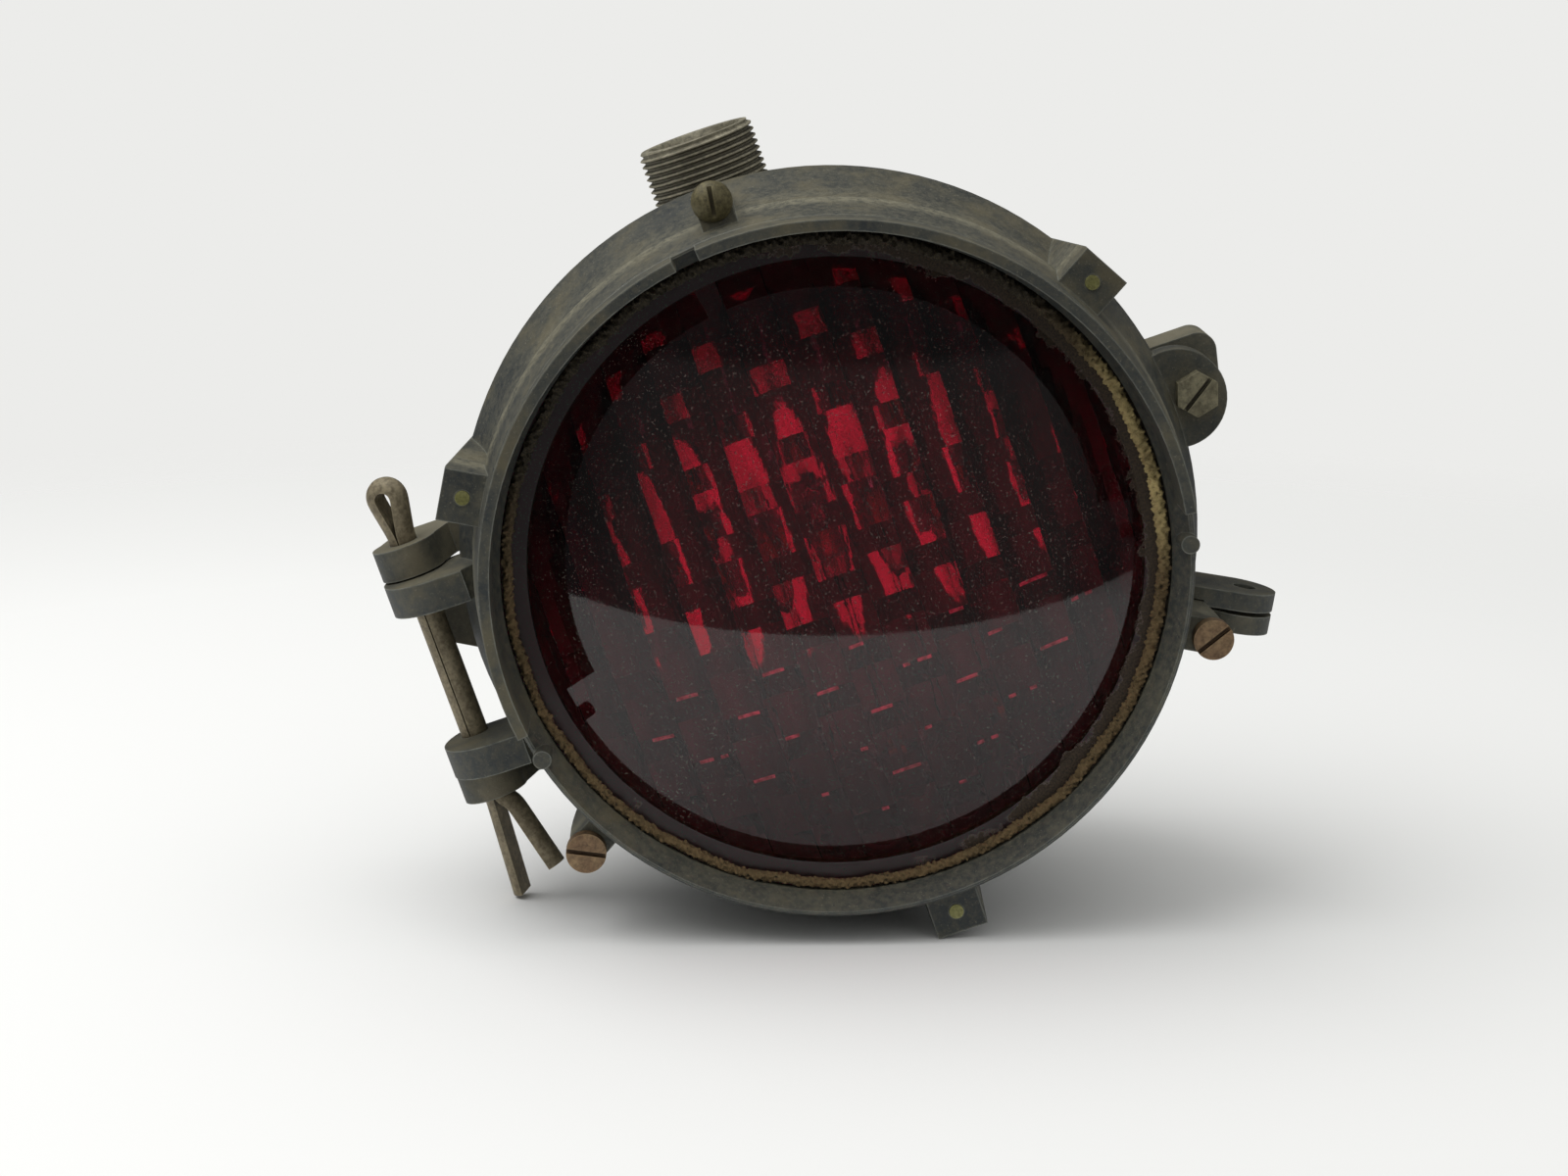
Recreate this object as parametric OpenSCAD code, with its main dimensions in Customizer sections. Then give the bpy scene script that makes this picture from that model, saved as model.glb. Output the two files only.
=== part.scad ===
// Railway colour light signal head: a round cast lamp house with a hinged lens door.
// Lengths are in millimetres. +Z is up along the conduit spigot and the lens faces -Y.
// The origin is on the conduit's axis, on the seat of the spigot.
// The modules place each piece from the lens axis, with y counted back from the ring's front.

/* [Lens] */
// Diameter of the lens over its flat rim
lens_d = 229; // [215:1:245]
// Width of the flat rim around the dome
lens_rim = 10; // [8:0.5:14]
// Thickness of the rim
lens_rim_t = 8; // [6:0.5:10]
// Thickness of the glass in the dome
lens_glass_t = 7; // [5:0.5:8]
// How far the dome stands out from the rim
lens_bulge = 25; // [15:0.5:28]
// Depth of the rim's face behind the front of the ring
lens_seat = 12.5; // [10:0.5:16]
// Diameter of the rope packing
packing_d = 3.9; // [3:0.1:5]
// Thickness of the flat gasket behind the lens
gasket_t = 2; // [1:0.25:4]
// Thickness of the clamp ring behind the gasket
clamp_t = 7; // [5:0.5:10]
// Width of the clamp ring
clamp_w = 10; // [8:0.5:14]

/* [Door] */
// Wall between the lens pocket and the outside of the ring
ring_wall = 5.1; // [4.5:0.1:8]
// Length of the ring from its front to the edge of the skirt
ring_depth = 22.5; // [18:0.5:26]
// How much the ring's side widens towards the skirt
ring_draft = 3.3; // [1:0.1:5]
// How far the rear rim stands outside the ring
rim_step = 10; // [8:0.5:14]
// Length of the straight rear rim
rim_length = 8; // [6:0.5:12]
// Wall of the rear rim
rim_wall = 6.5; // [6:0.1:9]
// Length of the door from the ring's front to its rear face
door_depth = 68; // [62:0.5:80]
// Depth of the groove for the door seal
seal_depth = 3.5; // [2.5:0.25:5]
// Width of the door seal
seal_w = 3.5; // [3:0.1:3.9]

/* [Hood collar] */
// Height of the collar that the lost hood sat on
collar_h = 15.4; // [8:0.2:20]
// Wall of the collar
collar_wall = 3.8; // [3:0.1:5]
// Angle where the collar starts, on the closing side
collar_from = -8; // [-40:1:20]
// Angle where the collar ends, on the hinge side
collar_to = 187.5; // [160:0.5:200]
// Angle of the notch at the top
notch_at = 96.8; // [80:0.2:110]
// Width of the notch
notch_w = 8.5; // [5:0.5:14]
// Size of the broken stumps past the collar's ends
stump = 4.5; // [3:0.5:6]

/* [Lugs] */
// Width of the square lugs
stud_lug_w = 17.7; // [14:0.1:22]
// How far the square lugs reach outside the ring
stud_lug_reach = 15.3; // [13:0.1:18]
// Depth of the square lugs' faces behind the ring's front
stud_lug_y = 7.4; // [4:0.2:12]
// How far the studs' centres lie outside the ring
stud_out = 7.8; // [6:0.1:9]
// Diameter of the brass studs
stud_d = 5; // [4:0.1:7]
// Length of the brass studs
stud_l = 30; // [15:1:40]
// Width of the screw lugs
screw_lug_w = 12; // [11:0.5:16]
// Depth of the screw lugs' faces behind the ring's front
screw_lug_y = 9; // [5:0.2:14]
// How far the screws' centres lie outside the ring
screw_out = 10; // [8.5:0.1:12]
// Diameter of the screws' heads
screw_head_d = 13.8; // [11:0.1:16]
// Height of the screws' heads
screw_head_h = 5; // [3:0.1:8]
// Height of the top screw's domed head
top_head_h = 4.8; // [3.5:0.1:6]
// Diameter of the screws' shanks
screw_d = 6; // [5:0.1:8]
// Length of the screws' shanks
screw_l = 14; // [8:1:15]

/* [Hinge] */
// How far the hinge's axis lies outside the rear rim
hinge_out = 11.5; // [11:0.1:14]
// Distance of the hinge's axis in front of the door's rear face
hinge_ahead = 8; // [6:0.5:12]
// Height over the four hinge ears
hinge_span = 95.6; // [90:0.2:110]
// Thickness of each hinge ear
ear_t = 11; // [8:0.2:13]
// Gap between a door ear and a house ear
ear_gap = 0.7; // [0.4:0.1:1.5]
// Radius of the door ears' round ends
door_ear_r = 20.5; // [18:0.5:24]
// Radius of the house ears' round ends
house_ear_r = 11.5; // [9:0.1:13]
// Diameter of the split pin
pin_d = 9.4; // [7:0.1:11]
// Clearance around the split pin
pin_clear = 0.3; // [0.2:0.05:0.5]
// Turn of the split pin in its holes
pin_turn = -18; // [-60:1:60]
// Half width of the split pin's eye
eye_r = 7.2; // [6.4:0.1:8.5]
// Height of the eye's centre above the top ear
eye_up = 16.5; // [13:0.5:22]
// Length of the long bent leg
leg_long = 36; // [20:1:45]
// Length of the short bent leg
leg_short = 27; // [18:0.5:40]
// Bend of the long leg
leg_long_bend = 4; // [2:1:20]
// Bend of the short leg
leg_short_bend = 15; // [8:1:30]
// Sharp bend where the short leg leaves the ear
leg_kick = 50; // [30:1:60]
// Length of the short leg's sharp bend
leg_kick_l = 4.5; // [3:0.5:8]

/* [Closing bolt and hasp] */
// How far the bolt's axis lies outside the rear rim
bolt_out = 7.5; // [5:0.1:10]
// Height of the bolt above the lens axis
bolt_up = 7.5; // [0:0.5:12]
// Diameter of the bolt
bolt_d = 9; // [7:0.1:11]
// Width of the bolt's hexagon across its flats
bolt_af = 14; // [12:0.5:17]
// Height of the bolt's head
bolt_head_h = 5.5; // [4:0.1:8]
// How far the bolt's end enters the lug of the house
bolt_entry = 6.5; // [4:0.5:10]
// Clearance of the bolt in the lug of the house
bolt_clear = 0.9; // [0.6:0.1:1.5]
// Thickness of the door's closing ear
closing_ear_t = 9.6; // [7:0.2:12]
// Radius of the door's closing ear
closing_ear_r = 17.6; // [15:0.2:20]
// Thickness of the lug of the house behind the closing ear
closing_lug_t = 21; // [12:0.5:26]
// Angle of the gap between the two hasp ears
hasp_at = -28.4; // [-36:0.2:-24]
// Thickness of each hasp ear
hasp_t = 6.6; // [5:0.1:8]
// Gap between the two hasp ears
hasp_gap = 1.6; // [1:0.1:2.4]
// How far the hasp ears reach outside the rear rim
hasp_reach = 28; // [24:0.5:34]
// Diameter of the hole through both hasp ears
hasp_hole_d = 8; // [5:0.5:10]

/* [House] */
// Gap between the closed door and the house
joint_gap = 0.8; // [0.6:0.1:1.5]
// Depth of the house behind the joint
house_depth = 99; // [90:1:130]
// Length of the rim at the front of the house
house_rim_l = 8; // [5:0.5:12]
// How far the drum of the house lies inside the door's rim
house_inset = 12; // [8:0.5:16]
// Wall of the house
house_wall = 5; // [4:0.25:7]
// Length of the dished back
back_l = 40; // [30:1:50]
// Radius of the flat part of the back
back_flat_r = 60; // [50:1:70]

/* [Conduit] */
// Outside diameter of the conduit's thread
conduit_d = 41.91; // [33:0.01:48]
// Bore of the conduit
conduit_bore = 33; // [25:0.5:34]
// Length of the thread above its seat
conduit_l = 26; // [18:0.5:34]
// Distance of the conduit's axis behind the door
conduit_back = 32; // [30:0.5:40]
// Height of the seat above the drum
seat_up = 1.5; // [1:0.25:5]
// Width of the boss around the conduit
boss_wall = 6; // [5:0.5:10]
// Depth of the boss below the seat
boss_depth = 15; // [12:0.5:20]
// Thickness of the locknut
locknut_t = 8; // [6:0.5:12]
// Clearance of threads, screws and studs in their holes
hole_clear = 0.05; // [0.02:0.01:0.15]

/* [Lamp] */
// Diameter of the lamp's glass
bulb_d = 40; // [30:1:46]
// Length of the glass in front of the cap
bulb_l = 48; // [42:1:60]
// Diameter of the lamp's cap
cap_d = 22; // [15:0.1:24]
// Length of the lamp's cap
cap_l = 18; // [14:0.5:24]
// Outside diameter of the lampholder
holder_d = 29; // [27.6:0.2:34]
// Wall of the lampholder's shell
holder_wall = 1.9; // [1:0.1:2.2]
// Thickness of the lampholder's insulator
insulator_t = 10; // [8:0.5:14]
// How far the contact plungers stand out of the insulator
plunger_out = 4; // [2:0.5:6]
// Thickness of the lamp bracket
bracket_t = 3; // [2:0.25:4]
// Width of the lamp bracket
bracket_w = 72; // [60:1:84]
// Height of the lamp bracket
bracket_h = 34; // [32:1:44]

/* [Terminals] */
// Width of the terminal block
block_w = 52; // [46:1:64]
// Depth of the terminal block from front to back
block_d = 24; // [20:1:28]
// Height of the terminal block
block_h = 16; // [12:0.5:20]
// Spacing of the two terminals
terminal_pitch = 16; // [13:0.5:18]
// Diameter of the lamp leads
lead_d = 2.6; // [1.5:0.1:3.5]

/* [Hidden] */
$fn = 96;
lens_clear = 0.4;
lip_overlap = 1;
lip_depth = 4;
front_land = 1.6;
edge_drop = 1.6;
collar_step = 0.4;
front_edge = 0.8;
flare_steps = 6;
lug_flare = 2.5;
slot_w = 1.6;
slot_depth = 2;
lens_r = lens_d / 2;
view_r = lens_r - lens_rim;
dome_r = (view_r * view_r + lens_bulge * lens_bulge) / (2 * lens_bulge);
dome_y = lens_seat - lens_bulge + dome_r;
pocket_r = lens_r + lens_clear;
lip_r = lens_r - lip_overlap;
lip_y = lens_seat - lip_depth;
ring_r = pocket_r + ring_wall;
edge_r = ring_r + ring_draft;
rim_r = ring_r + rim_step;
rim_in_r = rim_r - rim_wall;
gasket_y = lens_seat + lens_rim_t;
clamp_y = gasket_y + gasket_t;
pocket_y = clamp_y + clamp_t + 3;
flare_y = ring_depth + edge_drop;
rim_y = door_depth - rim_length;
stud_r = ring_r + stud_out;
stud_lug_r = ring_r + stud_lug_reach;
screw_r = ring_r + screw_out;
stud_angles = [30, 150, 270];
screw_angles = [90, 210, 330];
low_screw_angles = [210, 330];
low_slot_turns = [-27, 20];
top_slot_turn = 82;
top_head_r = screw_head_d / 2 + 1.1;
hinge_x = rim_r + hinge_out;
hinge_y = door_depth - hinge_ahead;
ear_out_z = hinge_span / 2;
ear_in_z = ear_out_z - ear_t - ear_gap;
door_ear_x = rim_r + 2;
door_ear_y = hinge_y - 5.5;
ear_trim_y = door_depth - 0.6;
pin_hole_r = pin_d / 2 + pin_clear;
eye_z = ear_out_z + eye_up;
shank_top = ear_out_z + 3;
pin_split = 0.5;
leg_z = -ear_out_z - 2.7;
bolt_x = rim_r + bolt_out;
closing_ear_x = rim_r + 0.8;
closing_ear_y = ear_trim_y - closing_ear_t;
keeper_t = 1.2;
joint_y = door_depth + joint_gap;
lug_y = joint_y + 0.7;
bolt_end_y = lug_y + bolt_entry;
bolt_hole_r = bolt_d / 2 + bolt_clear;
lug_x = bolt_x + 13;
lug_top = bolt_up + closing_ear_r + 0.4;
lug_corner = 6.5;
tongue_top = ear_in_z - ear_t - 3;
hasp_r = rim_r + hasp_reach;
hasp_end_r = 14;
root_gap = 0.25;
hasp_y = door_depth - hasp_end_r - 0.6;
hasp_hole_r = hasp_r - 11;
house_r = rim_r - house_inset;
house_in_r = house_r - house_wall;
house_rim_r = rim_r - 1;
back_y = joint_y + house_depth;
back_in_y = back_y - house_wall;
dish_y = back_y - back_l;
conduit_y = door_depth + conduit_back;
seat_z = house_r + seat_up;
boss_r = conduit_d / 2 + boss_wall;
boss_z = seat_z - boss_depth;
spot_r = boss_r + 0.5;
nipple_low = boss_z - locknut_t - 2;
shank_d = conduit_d - 3.91;
seat_gap = 0.5;
pad_h = 3;
bracket_y = back_in_y - pad_h - bracket_t;
bracket_screw_x = bracket_w / 2 - 8;
insulator_y = bracket_y - insulator_t;
plunger_y = insulator_y - plunger_out;
cap_y = plunger_y - cap_l;
holder_y = cap_y + 4;
bulb_y = cap_y - bulb_l;
block_y = conduit_y + 10;
block_pad_z = -house_in_r + 13;
block_top_z = block_pad_z + block_h;
bar_t = 3;
bar_w = 8;
block_screw_x = block_w / 2 - 5;
small_head_d = 7;
small_head_h = 2.8;
small_d = 4;

// Moves a piece from the lens axis to the conduit's seat.
module placed() {
    translate([0, -conduit_y, -seat_z]) children();
}

// Turns a revolved piece so that its axis runs back along +Y.
module on_axis() {
    rotate([-90, 0, 0]) children();
}

// Turns +X to a radius at this angle, seen from the front and counted up from the right.
module at_angle(a) {
    rotate([0, -a, 0]) children();
}

// A round bar along Y.
module bar_y(r, y0, y1) {
    translate([0, y0, 0]) rotate([-90, 0, 0]) cylinder(r = r, h = y1 - y0);
}

// A flat ring about the lens axis.
module washer(r_in, r_out, y0, y1) {
    difference() {
        bar_y(r_out, y0, y1);
        bar_y(r_in, y0 - 1, y1 + 1);
    }
}

// A profile of radius and depth, made into a slab across the radius.
module radial_slab(points, w) {
    translate([0, 0, -w / 2]) linear_extrude(w) polygon(points);
}

// Outer line of the skirt, a hollow flare from the ring's edge out to the rear rim.
function flare_r(s) = edge_r - edge_drop + (rim_r - edge_r + edge_drop) * s * s;
flare = [for (i = [0:flare_steps]) [flare_r(i / flare_steps),
    flare_y + (rim_y - flare_y) * i / flare_steps]];

// The ring, its lens pocket and the skirt, turned in one profile.
module door_shell() {
    on_axis() rotate_extrude() polygon(concat(
        [[lip_r, lip_y], [ring_r - front_land, 0], [ring_r - front_edge, 0], [ring_r, front_edge],
            [edge_r, ring_depth]],
        flare,
        [[rim_r, door_depth], [rim_in_r, door_depth], [rim_in_r, rim_y],
            [pocket_r + 1.5, pocket_y], [pocket_r, pocket_y], [pocket_r, lens_seat],
            [lip_r, lens_seat]]));
}

// What the ears must leave free inside the door, with its edge in the middle of the wall.
module door_core() {
    on_axis() rotate_extrude() polygon([[0, 0], [pocket_r + 3, 0], [pocket_r + 3, pocket_y],
        [rim_in_r + 2, rim_y], [rim_in_r + 2, door_depth + 1], [0, door_depth + 1]]);
}

// A stretch of the collar, from angle a to angle b.
module collar_arc(a, b) {
    at_angle(b) on_axis() rotate_extrude(angle = b - a)
        translate([ring_r - collar_step - collar_wall, -collar_h]) square([collar_wall, collar_h + lip_y - 2]);
}

// A square lug, which tapers back along the skirt to the rear rim.
module stud_lug() {
    intersection() {
        radial_slab([[pocket_r + 2, stud_lug_y], [stud_lug_r, stud_lug_y],
            [stud_lug_r, stud_lug_y + 4], [rim_r - 0.4, rim_y + 4], [rim_in_r + 2, rim_y + 4],
            [pocket_r + 3.5, pocket_y]], stud_lug_w + 4 * lug_flare);
        rotate([90, 0, 90]) linear_extrude(stud_lug_r + 1) polygon([
            [stud_lug_y - 1, -stud_lug_w / 2], [rim_y + 5, -stud_lug_w / 2 - lug_flare],
            [rim_y + 5, stud_lug_w / 2 + lug_flare], [stud_lug_y - 1, stud_lug_w / 2]]);
    }
}

// A narrow lug with a round end for a screw, tapered back to the skirt.
module screw_lug() {
    intersection() {
        radial_slab([[pocket_r + 2, screw_lug_y], [screw_r + screw_lug_w / 2, screw_lug_y],
            [screw_r + screw_lug_w / 2, screw_lug_y + 5], [rim_r - 3, rim_y - 5],
            [rim_in_r + 1, rim_y - 5], [pocket_r + 3.5, pocket_y]], screw_lug_w + 2);
        union() {
            translate([0, 0, -screw_lug_w / 2]) cube([screw_r, rim_y, screw_lug_w]);
            translate([screw_r, 0, 0]) bar_y(screw_lug_w / 2, 0, rim_y);
        }
    }
}

// A door hinge ear: a broad round tongue with its front edge square to the skirt.
module door_ear(z) {
    translate([0, 0, z]) linear_extrude(ear_t) difference() {
        union() {
            translate([-door_ear_x, door_ear_y]) circle(r = door_ear_r);
            translate([-door_ear_x, door_ear_y - door_ear_r]) square([9, 2 * door_ear_r]);
        }
        translate([-2 * hinge_x, ear_trim_y]) square([2 * hinge_x, 2 * door_ear_r]);
    }
}

module door_holes() {
    for (a = stud_angles) at_angle(a) translate([stud_r, 0, 0])
        bar_y(stud_d / 2 + hole_clear, stud_lug_y - 1, stud_lug_y + stud_l + 0.5);
    for (a = screw_angles) at_angle(a) translate([screw_r, 0, 0])
        bar_y(screw_d / 2 + hole_clear, screw_lug_y - 1, screw_lug_y + screw_l + 0.5);
    translate([bolt_x, 0, bolt_up]) bar_y(bolt_d / 2 + hole_clear, closing_ear_y - 1, door_depth + 1);
    translate([-hinge_x, hinge_y, -hinge_span / 2]) cylinder(r = pin_hole_r, h = hinge_span);
    washer(rim_in_r + (rim_wall - seal_w) / 2 - hole_clear, rim_r - (rim_wall - seal_w) / 2 + hole_clear,
        door_depth - seal_depth, door_depth + 1);
}

module door_casting() {
    color("DarkSlateGray") placed() difference() {
        union() {
            door_shell();
            collar_arc(collar_from, notch_at - notch_turn());
            collar_arc(notch_at + notch_turn(), collar_to);
            for (a = [collar_from - 6.2, collar_to + 5.8]) at_angle(a)
                translate([ring_r - stump / 2, 0, 0]) bar_y(stump * 0.7, -stump, lip_y - 0.5);
            for (a = stud_angles) at_angle(a) stud_lug();
            for (a = screw_angles) at_angle(a) screw_lug();
            difference() {
                union() {
                    door_ear(ear_in_z - ear_t);
                    door_ear(-ear_in_z);
                    translate([closing_ear_x, 0, bolt_up])
                        bar_y(closing_ear_r, closing_ear_y, ear_trim_y);
                }
                door_core();
            }
        }
        door_holes();
    }
}

// Half the angle that the notch takes up.
function notch_turn() = asin(notch_w / 2 / ring_r);

// Plan of the door's hasp ear: radius across, depth along.
module hasp_plan() {
    translate([hasp_r - hasp_end_r, hasp_y]) circle(r = hasp_end_r);
    translate([rim_in_r, hasp_y - hasp_end_r]) square([hasp_r - hasp_end_r - rim_in_r, 2 * hasp_end_r]);
}

// The door's hasp ear, which fits the curve of the skirt and the rim.
module door_hasp() {
    color("DarkSlateGray") placed() difference() {
        at_angle(hasp_at) translate([0, 0, hasp_gap / 2]) linear_extrude(hasp_t) hasp_plan();
        on_axis() rotate_extrude() polygon(concat([[0, flare_y]],
            [for (p = flare) [p[0] + root_gap, p[1]]], [[rim_r + root_gap, door_depth + 1],
            [0, door_depth + 1]]));
        at_angle(low_screw_angles[1]) radial_slab([[rim_in_r, screw_lug_y],
            [screw_r + screw_lug_w / 2 + 2 * root_gap, screw_lug_y + 5], [rim_r - 3 + 2 * root_gap, rim_y - 5],
            [rim_in_r, rim_y - 5]], screw_lug_w + 1);
        at_angle(hasp_at) translate([hasp_hole_r, hasp_y, -1])
            cylinder(d = hasp_hole_d, h = hasp_t + 9);
    }
}

module red_lens() {
    color("DarkRed") placed() difference() {
        union() {
            bar_y(lens_r, lens_seat, gasket_y);
            intersection() {
                translate([0, dome_y, 0]) sphere(r = dome_r);
                bar_y(view_r, lens_seat - lens_bulge - 1, gasket_y);
            }
        }
        translate([0, dome_y, 0]) sphere(r = dome_r - lens_glass_t);
    }
}

module lens_packing() {
    color("DarkKhaki") placed() on_axis() rotate_extrude()
        translate([lip_r - packing_d / 2 - hole_clear, lens_seat - packing_d / 2 - hole_clear])
            circle(d = packing_d);
}

module lens_gasket() {
    color("DimGray") placed() washer(lens_r - clamp_w, lens_r, gasket_y, clamp_y);
}

module clamp_ring() {
    color("Peru") placed() difference() {
        washer(lens_r - clamp_w, lens_r + lens_clear / 2, clamp_y, clamp_y + clamp_t);
        for (a = [45:90:315]) at_angle(a)
            translate([lens_r - clamp_w - 1, clamp_y + clamp_t - 3, -4]) cube([clamp_w / 2 + 1, 4, 8]);
    }
}

module lug_studs() {
    color("DarkGoldenrod") placed() for (a = stud_angles) at_angle(a)
        translate([stud_r, 0, 0]) bar_y(stud_d / 2, stud_lug_y - 0.5, stud_lug_y + stud_l);
}

// The slot across a head, cut down from its face at y.
module driver_slot(d, y, turn) {
    rotate([0, -turn, 0]) translate([-d, y - 1, -slot_w / 2]) cube([2 * d, slot_depth + 1, slot_w]);
}

module hood_screw_top() {
    color("Olive") placed() at_angle(90) translate([screw_r, 0, 0]) difference() {
        union() {
            intersection() {
                translate([0, screw_lug_y - top_head_h + top_head_r, 0]) sphere(r = top_head_r);
                bar_y(screw_head_d / 2, screw_lug_y - top_head_h - 1, screw_lug_y);
            }
            bar_y(screw_d / 2, screw_lug_y - 0.5, screw_lug_y + screw_l);
        }
        driver_slot(screw_head_d, screw_lug_y - top_head_h, top_slot_turn - 90);
    }
}

module hood_screws_low() {
    color("Sienna") placed() for (i = [0:1]) at_angle(low_screw_angles[i])
        translate([screw_r, 0, 0]) difference() {
            union() {
                bar_y(screw_head_d / 2, screw_lug_y - screw_head_h, screw_lug_y);
                bar_y(screw_d / 2, screw_lug_y - 0.5, screw_lug_y + screw_l);
            }
            driver_slot(screw_head_d, screw_lug_y - screw_head_h, low_slot_turns[i] - low_screw_angles[i]);
        }
}

module closing_bolt() {
    color("DarkOliveGreen") placed() translate([bolt_x, 0, bolt_up]) difference() {
        union() {
            translate([0, closing_ear_y - bolt_head_h, 0]) rotate([-90, -13, 0])
                cylinder(d = bolt_af / cos(30), h = bolt_head_h, $fn = 6);
            bar_y(bolt_d / 2, closing_ear_y - 0.5, bolt_end_y);
        }
        driver_slot(bolt_af, closing_ear_y - bolt_head_h, 34);
    }
}

module bolt_keeper() {
    color("Gray") placed() translate([bolt_x, 0, bolt_up])
        washer(bolt_d / 2 + hole_clear, bolt_d / 2 + 2.5, ear_trim_y, ear_trim_y + keeper_t);
}

module door_seal() {
    color("DimGray") placed() washer(rim_in_r + (rim_wall - seal_w) / 2, rim_r - (rim_wall - seal_w) / 2,
        door_depth - seal_depth, door_depth + joint_gap / 2);
}

// Wall line of the dished back, drawn in by t from the outside.
function dish(t) = [for (i = [0:8]) [back_flat_r + (house_r - back_flat_r - t) * cos(i * 11.25),
    dish_y + (back_l - t) * sin(i * 11.25)]];

// Drum, front rim and dished back of the house, turned in one profile.
module house_shell() {
    on_axis() difference() {
        rotate_extrude() polygon(concat([[0, joint_y], [house_rim_r, joint_y],
            [house_rim_r, joint_y + house_rim_l], [house_r, joint_y + house_rim_l + house_inset - 5]],
            dish(0), [[0, back_y]]));
        rotate_extrude() polygon(concat([[0, joint_y - 1], [house_in_r, joint_y - 1]],
            dish(house_wall), [[0, back_in_y]]));
    }
}

// A house hinge ear: a round eye on the pin with a web back to the rim of the house.
module house_ear(z) {
    translate([0, 0, z]) linear_extrude(ear_t) union() {
        translate([-hinge_x, hinge_y]) circle(r = house_ear_r);
        polygon([[-hinge_x - house_ear_r, hinge_y], [-hinge_x - 4, joint_y + 14],
            [-house_in_r + 12, joint_y + 14], [-house_in_r + 12, joint_y + 0.01],
            [-hinge_x + house_ear_r + 4, joint_y + 0.01],
            [-hinge_x + house_ear_r - 1.5, hinge_y - 4]]);
    }
}

// The lug behind the closing ear: flat on top, with its end drawn in downwards.
module closing_lug() {
    translate([0, lug_y + closing_lug_t, 0]) rotate([90, 0, 0]) linear_extrude(closing_lug_t) hull() {
        translate([lug_x - lug_corner, lug_top - lug_corner]) circle(r = lug_corner, $fn = 40);
        translate([bolt_x, bolt_up - closing_ear_r / 2]) circle(r = closing_ear_r / 2, $fn = 40);
        translate([house_in_r, bolt_up - closing_ear_r]) square([1, closing_ear_r + lug_top - bolt_up]);
    }
}

// The tongue on the hinge side, between the two hinge ears.
module hinge_lug() {
    translate([0, lug_y + closing_lug_t, 0]) rotate([90, 0, 0]) linear_extrude(closing_lug_t - 3) hull() {
        translate([-hinge_x, tongue_top - 7.5]) circle(r = lug_corner, $fn = 40);
        translate([-house_in_r - 1, tongue_top - 31]) square([1, 31]);
    }
}

// The hasp ear of the house, below the door's ear, with a web back to the rim.
module house_hasp_ear() {
    at_angle(hasp_at) translate([0, 0, -hasp_gap / 2 - hasp_t]) linear_extrude(hasp_t) {
        translate([hasp_r - hasp_end_r + 1, hasp_y]) circle(r = hasp_end_r - 1);
        polygon([[rim_r + 2, hasp_y], [hasp_r, hasp_y], [hasp_r - 6, joint_y + 16],
            [house_in_r - 4, joint_y + 16], [house_in_r - 4, joint_y + 0.01], [rim_r + 2, joint_y + 0.01]]);
    }
}

// Bores of the house, and the spot face that clears the rim around the conduit's seat.
module house_holes() {
    translate([0, conduit_y, boss_z - 1]) cylinder(d = shank_d + 2 * hole_clear, h = boss_depth + 2);
    translate([0, conduit_y, seat_z - seat_gap]) cylinder(r = spot_r, h = conduit_l);
    translate([bolt_x, 0, bolt_up]) bar_y(bolt_hole_r, lug_y - 1, lug_y + closing_lug_t + 1);
    translate([-hinge_x, hinge_y, -hinge_span]) cylinder(r = pin_hole_r, h = 2 * hinge_span);
    at_angle(hasp_at) translate([hasp_hole_r, hasp_y, -hasp_t - 9]) cylinder(d = hasp_hole_d, h = hasp_t + 10);
    for (x = [-bracket_screw_x, bracket_screw_x]) translate([x, 0, 0])
        bar_y(small_d / 2 + hole_clear, back_in_y - pad_h - 1, back_y - 1);
    for (x = [-block_screw_x, block_screw_x]) translate([x, block_y, block_pad_z - 9])
        cylinder(d = small_d + 2 * hole_clear, h = 10);
}

module house_casting() {
    color("SlateGray") placed() difference() {
        union() {
            house_shell();
            translate([0, conduit_y, boss_z]) cylinder(r = boss_r, h = boss_depth + 1);
            difference() {
                union() {
                    house_ear(ear_out_z - ear_t);
                    house_ear(-ear_out_z);
                    closing_lug();
                    hinge_lug();
                    house_hasp_ear();
                }
                bar_y(house_in_r + house_wall / 2, joint_y - 1, dish_y);
            }
            for (x = [-bracket_screw_x, bracket_screw_x]) translate([x, 0, 0])
                bar_y(6, back_in_y - pad_h, back_in_y + 1);
            intersection() {
                translate([-block_w / 2 - 3, block_y - block_d / 2 - 3, -house_r + 1])
                    cube([block_w + 6, block_d + 6, house_r - 1 + block_pad_z]);
                bar_y(house_in_r + 1, joint_y, dish_y);
            }
        }
        house_holes();
    }
}

module conduit_nipple() {
    color("DimGray") placed() translate([0, conduit_y, nipple_low]) difference() {
        union() {
            cylinder(d = shank_d, h = seat_z - nipple_low + 1);
            translate([0, 0, seat_z - nipple_low]) cylinder(d = conduit_d, h = conduit_l);
        }
        translate([0, 0, -1]) cylinder(d = conduit_bore, h = seat_z + conduit_l - nipple_low + 2);
    }
}

module conduit_locknut() {
    color("Gray") placed() translate([0, conduit_y, boss_z - locknut_t]) difference() {
        cylinder(d = (conduit_d + 13) / cos(30), h = locknut_t, $fn = 6);
        translate([0, 0, -1]) cylinder(d = shank_d + 2 * hole_clear, h = locknut_t + 2);
    }
}

// The half round that the split pin is bent from, with its flat on the split.
module half_round(d, flat) {
    difference() {
        circle(d = d);
        translate([-d, -d]) square([d + flat, 2 * d]);
    }
}

// A straight stretch of half round that hangs down from the point it turns about.
module pin_limb(d, l, flat) {
    translate([0, 0, -l]) linear_extrude(l) half_round(d, flat);
}

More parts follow.
